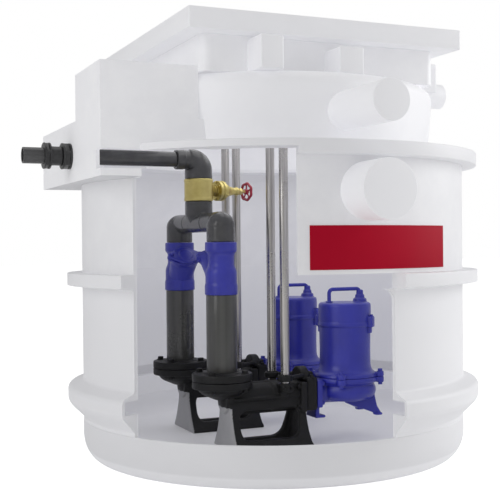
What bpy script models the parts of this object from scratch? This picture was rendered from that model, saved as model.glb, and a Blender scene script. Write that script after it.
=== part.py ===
"""Packaged pumping station: a moulded wet-well chamber, cut open at the front, with two
submersible pumps on duckfoot pedestals, guide rails, risers, check valves, a gate valve
and a discharge line that leaves through a side box.

Metres, +Z up. The origin is the centre of the base's underside, on the chamber's axis.
The cut-open front faces -Y, and the discharge line leaves along -X.
"""

import math

import bmesh
import bpy
from mathutils import Matrix, Vector

# Driving sizes
BODY_R = 0.600
WALL = 0.012
GAP = 0.0003
INNER_R = BODY_R - WALL
FLOOR_Z = 0.050
BASE_TOP = 0.125
MID_RIB_TOP = 0.573
RIM_Z = 0.890
RIM_TOP = 0.929
RIM_R = 0.644
NECK_R = 0.508
NECK_TOP = 1.130
TURRET_HALF = 0.375
TURRET_TOP = 1.232
LID_HALF = 0.431
LID_TOP = 1.289
DUCT_Y = -0.045
DUCT_Z = 1.152
DUCT_BORE = 0.033

# The cut-open front, as angles from +X about the chamber's axis
CUT_LEFT = 206.0
CUT_LOWER_RIGHT = 279.3
CUT_UPPER_RIGHT = 252.0
CUT_TOP = 0.909

# The outlet box on the left
BOX_X = -0.650
BOX_FRONT = -0.348
BOX_REAR = 0.384
BOX_FLOOR = 0.840
BOX_TOP = 1.014
BOX_TALL_TOP = 1.146
BOX_TALL_REAR = -0.070
BOX_WALL = 0.010

# Pipework: both risers and the valve's pipe stand in one plane
PIPE_X = -0.2495
PUMP_X = 0.1616
LINE_Y = 0.185
RISER_R = 0.045
FLANGE_R = 0.089
PEDESTAL_FLANGE_Z = 0.233
FLANGE_SPLIT_Z = 0.255
FLANGE_TOP = 0.277
CHECK_Z = 0.507
CHECK_TOP = 0.6625
MANIFOLD_Z = 0.722
MANIFOLD_R = 0.0295
VALVE_Z = 0.789
VALVE_TOP = 0.859
VALVE_PIPE_R = 0.0425
OUTLET_Z = 0.918
OUTLET_R = 0.024
OUTLET_END = -0.789

# Pumps, pedestals and guide rails
PUMP_LINE_Z = 0.200
COUPLING_X = 0.005
CLAW_DEPTH = 0.036
RAIL_X = -0.067
RAIL_SPREAD = 0.048
RAIL_R = 0.0135
RAIL_FOOT = 0.240
BEAM_Z = 1.150

PARTS = "pumping_station"
TOOLS = "cutters"


def clear_scene():
    for obj in list(bpy.data.objects):
        bpy.data.objects.remove(obj)
    for title in (PARTS, TOOLS):
        bpy.context.scene.collection.children.link(bpy.data.collections.new(title))


def material(name, colour, roughness, metallic=0.0):
    found = bpy.data.materials.get(name)
    if found:
        return found
    made = bpy.data.materials.new(name)
    made.use_nodes = True
    shader = made.node_tree.nodes["Principled BSDF"]
    shader.inputs["Base Color"].default_value = (*colour, 1.0)
    shader.inputs["Roughness"].default_value = roughness
    shader.inputs["Metallic"].default_value = metallic
    return made


def shell_white():
    return material("moulded_plastic", (0.80, 0.81, 0.82), 0.45)


def pump_blue():
    return material("blue_paint", (0.035, 0.045, 0.32), 0.35)


def casting_black():
    return material("black_casting", (0.025, 0.025, 0.028), 0.5)


def pipe_grey():
    return material("grey_pipe", (0.10, 0.10, 0.097), 0.4)


def fitting_grey():
    return material("charcoal_fitting", (0.06, 0.06, 0.062), 0.35)


def steel():
    return material("stainless", (0.62, 0.61, 0.59), 0.3, 1.0)


def brass():
    return material("brass", (0.60, 0.48, 0.16), 0.35, 1.0)


def place(obj, shade, title=PARTS):
    bpy.data.collections[title].objects.link(obj)
    if shade:
        obj.data.materials.append(shade)
    return obj


def object_of(bm, name, shade=None):
    """A mesh object of what bm holds, smooth where its faces bend little."""
    bmesh.ops.recalc_face_normals(bm, faces=bm.faces)
    mesh = bpy.data.meshes.new(name)
    bm.to_mesh(mesh)
    bm.free()
    mesh.shade_smooth()
    mesh.set_sharp_from_angle(angle=math.radians(35))
    return place(bpy.data.objects.new(name, mesh), shade)


def block(name, low, high, shade=None):
    """A box between two opposite corners."""
    low, high = Vector(low), Vector(high)
    size = high - low
    bm = bmesh.new()
    bmesh.ops.create_cube(bm, size=1.0)
    bmesh.ops.scale(bm, vec=size, verts=bm.verts)
    bmesh.ops.translate(bm, vec=(low + high) / 2, verts=bm.verts)
    return object_of(bm, name, shade)


def rod(name, start, end, radius, shade=None, sides=20, end_radius=None, wide=1.0):
    """A round bar, a cone where end_radius differs, or an oval one that is wider across."""
    start, end = Vector(start), Vector(end)
    along = end - start
    bm = bmesh.new()
    bmesh.ops.create_cone(
        bm,
        cap_ends=True,
        segments=sides,
        radius1=radius,
        radius2=radius if end_radius is None else end_radius,
        depth=along.length,
    )
    bmesh.ops.scale(bm, vec=(wide, 1.0, 1.0), verts=bm.verts)
    turn = along.to_track_quat("Z", "Y").to_matrix().to_4x4()
    where = Matrix.Translation((start + end) / 2) @ turn
    bmesh.ops.transform(bm, matrix=where, verts=bm.verts)
    return object_of(bm, name, shade)


def ball(name, centre, radius, shade=None, sides=16):
    bm = bmesh.new()
    bmesh.ops.create_uvsphere(bm, u_segments=sides, v_segments=sides // 2, radius=radius)
    bmesh.ops.translate(bm, vec=centre, verts=bm.verts)
    return object_of(bm, name, shade)


def prism(name, outline, low, high, axis="Z", shade=None):
    """A flat outline drawn out between two levels: (x, y) along Z, (x, z) along Y, (y, z) along X."""
    bm = bmesh.new()
    if axis == "Z":
        points = [(a, b, low) for a, b in outline]
        way = Vector((0, 0, high - low))
    elif axis == "X":
        points = [(low, a, b) for a, b in outline]
        way = Vector((high - low, 0, 0))
    else:
        points = [(a, low, b) for a, b in outline]
        way = Vector((0, high - low, 0))
    face = bm.faces.new([bm.verts.new(point) for point in points])
    grown = bmesh.ops.extrude_face_region(bm, geom=[face], use_keep_orig=True)
    moved = [item for item in grown["geom"] if isinstance(item, bmesh.types.BMVert)]
    bmesh.ops.translate(bm, vec=way, verts=moved)
    return object_of(bm, name, shade)


def turned(name, outline, shade=None, sides=24, closed=False):
    """An outline of (radius, z) points turned about Z. Its outer side runs top to bottom."""
    mesh = bpy.data.meshes.new(name)
    edges = [(i, i + 1) for i in range(len(outline) - 1)]
    if closed:
        edges.append((len(outline) - 1, 0))
    mesh.from_pydata([(r, 0, z) for r, z in outline], edges, [])
    obj = place(bpy.data.objects.new(name, mesh), shade)
    screw = obj.modifiers.new("turn", "SCREW")
    screw.axis = "Z"
    screw.steps = sides
    screw.render_steps = sides
    screw.use_merge_vertices = True
    screw.merge_threshold = 0.0001
    return obj


def sector(name, outline, start, end, shade=None, step=6.0):
    """A closed outline of (radius, z) points swept from one angle to another about Z."""
    bm = bmesh.new()
    face = bm.faces.new([bm.verts.new((r, 0, z)) for r, z in outline])
    spin = math.radians(end - start)
    bmesh.ops.rotate(
        bm, matrix=Matrix.Rotation(math.radians(start), 3, "Z"), verts=bm.verts
    )
    bmesh.ops.spin(
        bm,
        geom=[face, *face.edges, *face.verts],
        cent=(0, 0, 0),
        axis=(0, 0, 1),
        angle=spin,
        steps=max(1, round((end - start) / step)),
    )
    return object_of(bm, name, shade)


def arc(centre, radii, start, end, steps):
    """Points on an ellipse's arc, its ends included, as (a, b) pairs."""
    ends = math.radians(start), math.radians(end)
    angles = [ends[0] + (ends[1] - ends[0]) * i / steps for i in range(steps + 1)]
    return [
        (centre[0] + radii[0] * math.cos(t), centre[1] + radii[1] * math.sin(t)) for t in angles
    ]


def round_square(half, corner, steps=3):
    """A square's outline with round corners, centred on the axis."""
    points = []
    for turn in range(4):
        angle = math.radians(90 * turn + 45)
        reach = (half - corner) * math.sqrt(2)
        centre = reach * math.cos(angle), reach * math.sin(angle)
        points += arc(centre, (corner, corner), 90 * turn, 90 * turn + 90, steps)
    return points


def use_tool(body, operation, tools):
    """Joins, cuts or trims body with each tool, which then hides with body as parent."""
    for tool in tools:
        bpy.data.collections[PARTS].objects.unlink(tool)
        bpy.data.collections[TOOLS].objects.link(tool)
        tool.parent = body
        tool.hide_render = True
        tool.display_type = "WIRE"
        step = body.modifiers.new(tool.name, "BOOLEAN")
        step.operation = operation
        step.object = tool
    return body


def join(body, *tools):
    return use_tool(body, "UNION", tools)


def cut(body, *tools):
    return use_tool(body, "DIFFERENCE", tools)


# Chamber


def chamber_base():
    corner_r, corner_z, fillet = 0.052, 0.079, 0.043
    outer = arc((BODY_R - corner_r, corner_z), (corner_r, corner_z), 0, -90, 4)
    inner = arc((INNER_R - fillet, FLOOR_Z + fillet), (fillet, fillet), -90, 0, 3)
    top = BASE_TOP - GAP
    outline = [(0, FLOOR_Z), *inner, (INNER_R, top), (BODY_R, top), *outer, (0, 0)]
    turned("chamber_base", outline, shell_white(), sides=60)


def lower_wall_outline():
    """The band from the base to the middle rib: a bulge with a channel inside it, a rib above."""
    top = MID_RIB_TOP - GAP
    bulge = [(0.246, 0.0), (0.231, 0.040), (0.222, 0.0475), (0.188, 0.0475)]
    bulge += [(0.176, 0.040), (0.136, 0.0)]
    channel = [(0.188, 0.0), (0.188, 0.048), (0.226, 0.048), (0.226, 0.0)]
    rib_r, rib_z = 0.646, 0.535
    outer = [(rib_r, top), (rib_r, rib_z), (BODY_R, rib_z - 0.004)]
    outer += [(BODY_R + out, z) for z, out in bulge]
    outer += [(BODY_R, BASE_TOP), (INNER_R, BASE_TOP)]
    outer += [(INNER_R + out, z) for z, out in channel]
    return outer + [(INNER_R, top)]


def split(start, end, names):
    """Each name with its share of the angle, less half a gap at both ends."""
    half = math.degrees(GAP / BODY_R) / 2
    share = (end - start) / len(names)
    for i, name in enumerate(names):
        yield name, start + share * i + half, start + share * (i + 1) - half


def box_space(name, grow=0.0):
    """The room that the outlet box takes in the wall and the rim, a little larger."""
    low = (BOX_X - 0.1, BOX_FRONT - grow, BOX_FLOOR - grow)
    return block(name, low, (-0.30, BOX_REAR + grow, BOX_TOP + 0.2))


def lower_wall():
    names = ["lower_wall_right", "lower_wall_rear_right", "lower_wall_rear_left", "lower_wall_left"]
    for name, start, end in split(CUT_LOWER_RIGHT, CUT_LEFT + 360, names):
        sector(name, lower_wall_outline(), start, end, shell_white())


def upper_wall():
    bottom, top = MID_RIB_TOP, RIM_Z - GAP
    outline = [(BODY_R, top), (BODY_R, bottom), (INNER_R, bottom), (INNER_R, top)]
    names = ["upper_wall_front", "upper_wall_right", "upper_wall_rear", "upper_wall_left"]
    for name, start, end in split(CUT_UPPER_RIGHT, CUT_LEFT + 360, names):
        wall = sector(name, outline, start, end, shell_white())
        if name == "upper_wall_front":
            cut(wall, rod("inlet hole", (0.01, -0.5, 0.795), (0.01, -0.7, 0.795), 0.070))
        if name == "upper_wall_left":
            cut(wall, box_space("box room in wall", GAP))


def rim():
    outline = [(RIM_R, RIM_TOP), (RIM_R, RIM_Z), (INNER_R, RIM_Z), (INNER_R, 0.917),
               (0.483, 0.917), (0.483, RIM_TOP)]
    spans = (("rim_front", 204.0, 310.0), ("rim_right", 310.0, 410.0), ("rim_rear", 410.0, 512.0))
    half = math.degrees(GAP / BODY_R) / 2
    for name, start, end in spans:
        ring = sector(name, outline, start + half, end - half, shell_white())
        if name != "rim_right":
            cut(ring, box_space("box room in " + name, GAP))
        if name == "rim_front":
            window = [(0.7, CUT_TOP), (0.7, 0.85), (0.45, 0.85), (0.45, CUT_TOP)]
            cut(ring, sector("window in rim", window, 200, CUT_UPPER_RIGHT))


def neck_outline(grow=0.0):
    """The neck's outer side, top to bottom, with its round shoulder."""
    shoulder = 0.038
    centre = NECK_R - shoulder, NECK_TOP - shoulder
    radii = shoulder + grow, shoulder + grow
    return [(0.30, NECK_TOP + grow), *arc(centre, radii, 90, 0, 4), (0.495 + grow, RIM_TOP + GAP)]


def neck():
    centre, radii = (0.466, 1.088), (0.030, 0.030)
    inner = [(0.483, RIM_TOP + GAP), *arc(centre, radii, 0, 90, 3), (0.30, 1.118)]
    spans = (("neck_front", 180.0, 360.0), ("neck_rear", 0.0, 180.0))
    half = math.degrees(GAP / NECK_R) / 2
    for name, start, end in spans:
        half_neck = sector(name, neck_outline() + inner, start + half, end - half, shell_white())
        opening = prism("opening in " + name, round_square(0.345, 0.05), 1.0, 1.2)
        low = (-0.7, BOX_FRONT + BOX_WALL, 0.9)
        high = (-0.3, BOX_REAR - BOX_WALL, BOX_TOP - BOX_WALL)
        cut(half_neck, opening, block("box room in " + name, low, high))
        if name == "neck_front":
            cut(half_neck, rod("duct hole in neck", (0, -0.4, 1.02), (0, -0.6, 1.02), 0.045))


def turret():
    foot, top, corner = NECK_TOP + GAP, TURRET_TOP - GAP, 0.03
    body = prism("turret", round_square(TURRET_HALF, corner), foot, top, shade=shell_white())
    reach, sink = 0.471, 0.360
    for turn in (0, 90, 180):
        for i, (x0, x1, high) in enumerate(((-0.240, -0.1725, 1.222), (0.0, 0.076, 1.205))):
            lug = block(f"lug {turn} {i}", (x0, -reach, foot), (x1, -sink, high))
            lug.rotation_euler = (0, 0, math.radians(turn))
            join(body, lug)
    hollow = prism("turret bore", round_square(TURRET_HALF - WALL, corner - WALL), 1.0, 1.3)
    hole = rod("duct hole in turret", (0.3, DUCT_Y, DUCT_Z), (0.5, DUCT_Y, DUCT_Z), DUCT_BORE)
    cut(body, hollow, hole)


def lid():
    foot, rebate = TURRET_TOP, 1.2707
    frame = prism("lid_frame", round_square(LID_HALF, 0.006), foot, LID_TOP, shade=shell_white())
    opening = prism("lid opening", round_square(0.325, 0.03), foot - 0.1, LID_TOP + 0.1)
    seat = prism("cover seat", round_square(0.3485, 0.0335), rebate, LID_TOP + 0.1)
    cut(frame, opening, seat)
    prism("access_cover", round_square(0.345, 0.03), rebate + GAP, 1.285, shade=shell_white())


def outlet_box():
    inside = 0.32
    low = (BOX_X, BOX_FRONT, BOX_FLOOR)
    body = block("outlet_box", low, (-inside, BOX_REAR, BOX_TOP), shell_white())
    tall = block("tall part", (BOX_X, BOX_FRONT + 0.003, 0.9), (-inside, BOX_TALL_REAR, BOX_TALL_TOP))
    t = BOX_WALL
    room = block("box room", (BOX_X + t, BOX_FRONT + t, BOX_FLOOR + t),
                 (-0.2, BOX_REAR - t, BOX_TOP - t))
    tall_room = block("tall room", (BOX_X + t, BOX_FRONT + t, 0.95),
                      (-0.2, BOX_TALL_REAR - t, BOX_TALL_TOP - t))
    chamber = rod("chamber room", (0, 0, 0.7), (0, 0, RIM_TOP + 2 * GAP), INNER_R, sides=60)
    neck_room = turned("neck room", [(0, NECK_TOP + GAP)] + neck_outline(GAP) + [(0, RIM_TOP)],
                       sides=60)
    turret_room = prism("turret room", round_square(TURRET_HALF + GAP, 0.03), 1.0, 1.3)
    strip = block("front strip", (BOX_X - 0.05, BOX_FRONT - 0.05, 0.860),
                  (-0.40, BOX_FRONT + 0.05, 0.912))
    edge = BODY_R * math.cos(math.radians(CUT_LEFT))
    corner = block("front corner", (edge, BOX_FRONT - 0.05, 0.8), (-0.40, -0.272, 0.912))
    hole = rod("pipe hole", (-0.7, 0, OUTLET_Z), (-0.6, 0, OUTLET_Z), OUTLET_R + GAP)
    join(body, tall)
    cut(body, room, tall_room, chamber, neck_room, turret_room, strip, corner, hole)


def stub(name, start, end, radius, bore, sides=24):
    """A plain spigot: a tube closed at its outer end."""
    along = (Vector(end) - Vector(start)).normalized()
    body = rod(name, start, end, radius, shell_white(), sides)
    inner_start = Vector(start) - along * 0.05
    inner_end = Vector(end) - along * 0.010
    return cut(body, rod(name + " bore", inner_start, inner_end, bore, sides=sides))


def stubs():
    inlet = stub("inlet_stub", (0.01, -0.56, 0.795), (0.01, -0.720, 0.795), 0.080, 0.070)
    cut(inlet, rod("wall at inlet", (0, 0, 0.6), (0, 0, 0.9), BODY_R + GAP, sides=120))
    front = stub("duct_stub_front", (0, -0.45, 1.02), (0, -0.745, 1.02), 0.055, 0.045)
    side = stub("duct_stub_side", (TURRET_HALF + GAP, DUCT_Y, DUCT_Z), (0.612, DUCT_Y, DUCT_Z),
                0.041, DUCT_BORE)
    for duct in (front, side):
        outline = [(0, NECK_TOP + 2 * GAP)] + neck_outline(2 * GAP) + [(0, RIM_TOP)]
        cut(duct, turned("neck at " + duct.name, outline, sides=120))


def label():
    thick, start, end = 0.0015, 255.1, 300.1
    inner = BODY_R + GAP
    outline = [(inner + thick, 0.703), (inner + thick, 0.585), (inner, 0.585), (inner, 0.703)]
    red = material("label_red", (0.40, 0.004, 0.02), 0.4)
    sector("label_plate", outline, start, end, red, step=1.5)


# Pipework


def ring(name, outer, bore, low, high, x, y, shade, sides=24):
    outline = [(outer, high), (outer, low), (bore, low), (bore, high)]
    made = turned(name, outline, shade, sides, closed=True)
    made.location = (x, y, 0)
    return made


def pedestal(number, y):
    """A duckfoot bend: a flange for the riser, a bend, a flange for the pump and two legs."""
    shade = casting_black()
    top = FLANGE_SPLIT_Z - GAP
    body = rod(f"pedestal_{number}", (PIPE_X, y, PEDESTAL_FLANGE_Z), (PIPE_X, y, top), FLANGE_R,
               shade, 24)
    pipe_r = 0.042
    face = COUPLING_X - GAP
    bend = [
        rod(f"bend {number}", (PIPE_X, y, PUMP_LINE_Z - 0.013), (PIPE_X, y, 0.250), 0.045),
        ball(f"bend ball {number}", (PIPE_X, y, PUMP_LINE_Z), 0.055),
        rod(f"bend pipe {number}", (PIPE_X + 0.007, y, PUMP_LINE_Z), (face - 0.01, y, PUMP_LINE_Z), pipe_r),
        block(f"pump flange {number}", (face - 0.022, y - 0.056, 0.150), (face, y + 0.056, 0.240)),
        block(f"rail ears {number}", (RAIL_X - 0.016, y - 0.064, 0.206),
              (RAIL_X + 0.016, y + 0.064, RAIL_FOOT - GAP)),
    ]
    left, right, foot = -0.242, -0.010, 0.008
    sole = FLOOR_Z + GAP
    inset = 0.004
    web = [(left + inset, 0.193), (left + inset, sole + inset), (left + 0.045, sole + inset)]
    web += arc((-0.114, 0.080), (0.072, 0.070), 180, 0, 5)
    web += [(right - 0.030, sole + inset), (foot - inset, sole + inset), (foot - inset, 0.068),
            (face - inset, 0.082), (face - inset, 0.193)]
    flare = [(0.192, 0.044), (0.150, 0.048), (0.120, 0.058), (0.090, 0.073), (0.062, 0.090)]
    splay = [(y - out, z) for z, out in flare] + [(y + out, z) for z, out in flare[::-1]]
    legs = [
        prism(f"web {number}", web, y - 0.012, y + 0.012, axis="Y"),
        prism(f"left leg {number}", splay, left + 0.002, left + 0.020, axis="X"),
        prism(f"right leg {number}", splay, face - 0.020, face - 0.002, axis="X"),
        block(f"base bar {number}", (left, y - 0.098, sole), (foot, y + 0.098, 0.064)),
    ]
    join(body, *bend, *legs)


def riser(number, y):
    ring(f"riser_flange_{number}", FLANGE_R, RISER_R + GAP, FLANGE_SPLIT_Z, FLANGE_TOP, PIPE_X, y,
         casting_black())
    rod(f"riser_{number}", (PIPE_X, y, FLANGE_SPLIT_Z), (PIPE_X, y, CHECK_Z - GAP), RISER_R,
        pipe_grey(), 24)


def check_valve(number, y, side):
    """A ball check valve: an upright body with a slanting branch that ends in a bolted cover."""
    low, high = CHECK_Z, CHECK_TOP - GAP
    collar, neck_r = 0.048, 0.041
    outline = [(0, high), (collar, high), (collar, high - 0.026), (neck_r, high - 0.034),
               (0.0455, 0.60), (0.0455, low + 0.032), (collar, low + 0.026),
               (collar, low), (0, low)]
    body = turned(f"check_valve_{number}", outline, pump_blue())
    body.location = (PIPE_X, y, 0)
    way = Vector((side[0], side[1], 1.0)).normalized()
    root = Vector((0, 0, 0.548))
    seat = root + way * 0.110
    across, oval = 0.033, 1.38
    branch = rod(f"branch {number}", root, seat, 0.037, end_radius=0.031)
    flange = rod(f"branch flange {number}", seat - way * 0.010, seat, across, wide=oval)
    join(body, branch, flange)
    cover = rod(f"check_valve_cover_{number}", seat + way * GAP, seat + way * 0.011, across,
                pump_blue(), wide=oval)
    cover.location = (PIPE_X, y, 0)


def manifold():
    """Two elbows over the check valves and the tee between them."""
    shade = fitting_grey()
    joint_y = 0.080
    for number, y in ((1, -LINE_Y), (2, LINE_Y)):
        inward = -math.copysign(1, y)
        body = rod(f"manifold_elbow_{number}", (PIPE_X, y, CHECK_TOP), (PIPE_X, y, 0.700), 0.0445,
                   shade, 24)
        side = (PIPE_X, inward * -joint_y - inward * GAP, MANIFOLD_Z)
        join(
            body,
            rod(f"elbow neck {number}", (PIPE_X, y, 0.69), (PIPE_X, y, MANIFOLD_Z), 0.036),
            ball(f"elbow ball {number}", (PIPE_X, y, MANIFOLD_Z - 0.004), 0.036),
            rod(f"elbow arm {number}", (PIPE_X, y, MANIFOLD_Z), side, MANIFOLD_R),
        )
    tee = rod("manifold_tee", (PIPE_X, -joint_y, MANIFOLD_Z), (PIPE_X, joint_y, MANIFOLD_Z),
              MANIFOLD_R, shade)
    join(
        tee,
        rod("tee branch", (PIPE_X, 0, MANIFOLD_Z + 0.024), (PIPE_X, 0, VALVE_Z - GAP), VALVE_PIPE_R),
        rod("tee root", (PIPE_X, 0, MANIFOLD_Z - 0.010), (PIPE_X, 0, MANIFOLD_Z + 0.026), 0.026,
            end_radius=VALVE_PIPE_R - 0.0005),
    )


STEM_TURN = math.radians(15)
STEM = Vector((math.cos(STEM_TURN), math.sin(STEM_TURN), 0))
VALVE_MID = Vector((PIPE_X, 0, (VALVE_Z + VALVE_TOP) / 2))
BONNET_ROOT = 0.060
BONNET_REACH = 0.1117
STEM_SOCKET = 0.012
WHEEL_REACH = 0.188
WHEEL_MINOR = 0.0045
WHEEL_MAJOR = 0.030 - WHEEL_MINOR


def gate_valve():
    collar = 0.0465
    outline = [(0, VALVE_TOP - GAP), (collar, VALVE_TOP - GAP), (collar, VALVE_Z), (0, VALVE_Z)]
    body = turned("gate_valve_body", outline, brass())
    body.location = (PIPE_X, 0, 0)
    middle = Vector((0, 0, VALVE_MID.z))
    join(body, rod("bonnet seat", middle, middle + STEM * BONNET_ROOT, 0.024))
    start = VALVE_MID + STEM * (BONNET_ROOT + GAP)
    bonnet = rod("gate_valve_bonnet", start, start + STEM * 0.030, 0.024, brass())
    join(
        bonnet,
        rod("bonnet flange", start + STEM * 0.006, start + STEM * 0.032, 0.032),
        rod("bonnet cone", start + STEM * 0.028, start + STEM * 0.105, 0.024, end_radius=0.009),
        rod("gland nut", start + STEM * 0.099, start + STEM * BONNET_REACH, 0.0115, sides=6),
    )
    inner_end = BONNET_REACH - STEM_SOCKET
    cut(bonnet, rod("stem bore", start + STEM * inner_end, start + STEM * 0.13, 0.0055))


def handwheel():
    """Rim, hub, spokes and stem in one, with its origin on the stem's axis."""
    red = material("wheel_red", (0.45, 0.02, 0.07), 0.35)
    rim_profile = arc((WHEEL_MAJOR, 0), (WHEEL_MINOR, WHEEL_MINOR), 90, -270, 8)[:-1]
    wheel = turned("handwheel", rim_profile, red, sides=24, closed=True)
    wheel.location = VALVE_MID + STEM * WHEEL_REACH
    wheel.rotation_mode = "QUATERNION"
    wheel.rotation_quaternion = STEM.to_track_quat("Z", "Y")
    hub = rod("wheel hub", (0, 0, -0.007), (0, 0, 0.006), 0.008, sides=12)
    stem_root = BONNET_ROOT + BONNET_REACH - STEM_SOCKET + 0.002 - WHEEL_REACH
    stem = rod("wheel stem", (0, 0, stem_root), (0, 0, 0.0), 0.005, sides=12)
    spokes = []
    for i in range(5):
        angle = math.radians(72 * i)
        tip = (WHEEL_MAJOR * math.cos(angle), WHEEL_MAJOR * math.sin(angle), 0)
        spokes.append(rod(f"spoke {i}", (0, 0, 0), tip, 0.003, sides=6))
    join(wheel, hub, stem, *spokes)


def discharge():
    shade = fitting_grey()
    lip_x = PIPE_X - 0.075
    elbow = rod("discharge_elbow", (PIPE_X, 0, VALVE_TOP), (PIPE_X, 0, OUTLET_Z - 0.008),
                VALVE_PIPE_R, shade)
    join(
        elbow,
        ball("outlet ball", (PIPE_X, 0, OUTLET_Z - 0.010), VALVE_PIPE_R),
        rod("outlet arm", (PIPE_X, 0, OUTLET_Z), (lip_x, 0, OUTLET_Z), 0.030),
        rod("outlet lip", (lip_x + 0.026, 0, OUTLET_Z), (lip_x, 0, OUTLET_Z), 0.032),
    )
    line = rod("discharge_pipe", (lip_x - GAP, 0, OUTLET_Z), (OUTLET_END, 0, OUTLET_Z),
               OUTLET_R - GAP, shade)
    cut(line, rod("pipe bore", (lip_x - 0.05, 0, OUTLET_Z), (OUTLET_END - 0.05, 0, OUTLET_Z), 0.019))
    bore = OUTLET_R
    spans = (("inner_nut", BOX_X - GAP, -0.6765, 0.039, 6), ("union_collar", -0.6768, -0.7097, 0.028, 20),
             ("outer_nut", -0.7100, -0.7297, 0.039, 6))
    for name, x0, x1, radius, sides in spans:
        nut = rod(name, (x0, 0, OUTLET_Z), (x1, 0, OUTLET_Z), radius, shade, sides)
        hole = rod(name + " bore", (x0 + 0.01, 0, OUTLET_Z), (x1 - 0.01, 0, OUTLET_Z), bore)
        cut(nut, hole)


# Pumps and rails

CAP_Z = 0.473
TOWER_Z = 0.492
HANDLE_HALF = 0.054


def rails():
    number = 0
    for y in (-LINE_Y, LINE_Y):
        for side in (-RAIL_SPREAD, RAIL_SPREAD):
            number += 1
            rod(f"guide_rail_{number}", (RAIL_X, y + side, RAIL_FOOT), (RAIL_X, y + side, BEAM_Z - GAP),
                RAIL_R, steel(), 16)
    wall = TURRET_HALF - WALL - GAP
    beam = block("rail_beam", (RAIL_X - 0.020, -wall, BEAM_Z), (RAIL_X + 0.020, wall, BEAM_Z + 0.030),
                 steel())
    return beam


def pump_volute(number, y):
    """The pump's casing: scroll, upper flange with lugs, outlet pipe, outlet plate and two fins."""
    outline = [(0, 0.2440), (0.105, 0.2440), (0.105, 0.2285), (0.094, 0.226), (0.096, 0.212),
               (0.096, 0.190), (0.087, 0.177), (0.076, 0.172), (0, 0.172)]
    body = turned(f"pump_volute_{number}", outline, pump_blue())
    body.location = (PUMP_X, y, 0)
    plate = COUPLING_X + CLAW_DEPTH + GAP - PUMP_X
    pieces = [
        rod(f"pump outlet {number}", (0, 0, PUMP_LINE_Z), (plate + 0.01, 0, PUMP_LINE_Z), 0.034),
        block(f"outlet plate {number}", (plate, -0.050, 0.156), (plate + 0.018, 0.050, 0.242)),
    ]
    for i in range(4):
        angle = math.radians(90 * i - 35)
        lug = Vector((0.106 * math.cos(angle), 0.106 * math.sin(angle), 0))
        pieces.append(rod(f"casing lug {number} {i}", lug + Vector((0, 0, 0.228)),
                          lug + Vector((0, 0, 0.2439)), 0.0145, sides=12))
    fin = [(0.004, 0.182), (0.004, 0.158), (0.092, 0.129), (0.108, 0.125), (0.108, 0.140), (0.091, 0.190)]
    for turn in (-35, 35):
        foot = prism(f"foot {number} {turn}", fin, -0.006, 0.006, axis="Y")
        foot.rotation_euler = (0, 0, math.radians(turn))
        pieces.append(foot)
    join(body, *pieces)


def pump_motor(number, y):
    radius, foot = 0.081, 0.2443
    edge = 0.012
    cap = arc((radius - edge, CAP_Z - edge), (edge, edge), 90, 0, 3)
    outline = [(0, CAP_Z), *cap, (radius, 0.416), (0.088, 0.414), (0.088, 0.400), (radius, 0.398),
               (0.078, 0.270), (0.084, foot), (0, foot)]
    body = turned(f"pump_motor_{number}", outline, pump_blue())
    body.location = (PUMP_X, y, 0)
    pieces = []
    for i in range(2):
        lug = block(f"band lug {number} {i}", (0.070, -0.012, 0.396), (0.099, 0.012, 0.430))
        lug.rotation_euler = (0, 0, math.radians(180 * i + 130))
        pieces.append(lug)
    for low, high, size in ((0.462, 0.480, 0.021), (0.478, 0.4865, 0.016), (0.485, TOWER_Z, 0.0115)):
        pieces.append(rod(f"gland step {number} {low}", (HANDLE_HALF, 0, low), (HANDLE_HALF, 0, high),
                          size, sides=16))
    join(body, *pieces)


def pump_handle(number, y):
    """A round bar bent into an arch, from the motor's top to the top of the cable gland."""
    bar, top, bend = 0.005, 0.513, 0.014
    curve = bpy.data.curves.new(f"pump_handle_{number}", "CURVE")
    curve.dimensions = "3D"
    curve.bevel_depth = bar
    curve.bevel_resolution = 2
    curve.use_fill_caps = True
    left = arc((-HANDLE_HALF + bend, top - bend), (bend, bend), 180, 90, 4)
    right = arc((HANDLE_HALF - bend, top - bend), (bend, bend), 90, 0, 4)
    route = [(-HANDLE_HALF, CAP_Z + GAP), *left, *right, (HANDLE_HALF, TOWER_Z + GAP)]
    spline = curve.splines.new("POLY")
    spline.points.add(len(route) - 1)
    for point, (x, z) in zip(spline.points, route):
        point.co = (x, 0, z, 1)
    handle = place(bpy.data.objects.new(f"pump_handle_{number}", curve), pump_blue())
    handle.location = (PUMP_X, y, 0)


def pump_claw(number, y):
    """The sliding coupling: a face that meets the pedestal, a domed hook and two rail sleeves."""
    face = COUPLING_X
    back = COUPLING_X + CLAW_DEPTH
    body = block(f"pump_claw_{number}", (face, y - 0.050, 0.152), (back, y + 0.050, 0.252),
                 casting_black())
    hook = [(y + 0.034, 0.2445), *arc((y, 0.247), (0.036, 0.036), 0, 180, 8), (y - 0.034, 0.2445)]
    pieces = [prism(f"hook {number}", hook, face - 0.013, face + 0.017, axis="X")]
    slots = []
    for side in (-1, 1):
        across = y + side * RAIL_SPREAD
        pieces.append(rod(f"sleeve {number} {side}", (RAIL_X, across, 0.246), (RAIL_X, across, 0.264),
                          RAIL_R + 0.0085))
        pieces.append(rod(f"arm {number} {side}", (RAIL_X + 0.019, across, 0.2545),
                          (face, y + side * 0.026, 0.2565), 0.0075, sides=12))
        slots.append(rod(f"rail slot {number} {side}", (RAIL_X, across, 0.2), (RAIL_X, across, 0.3),
                         RAIL_R + 0.003))
    join(body, *pieces)
    cut(body, *slots)


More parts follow.
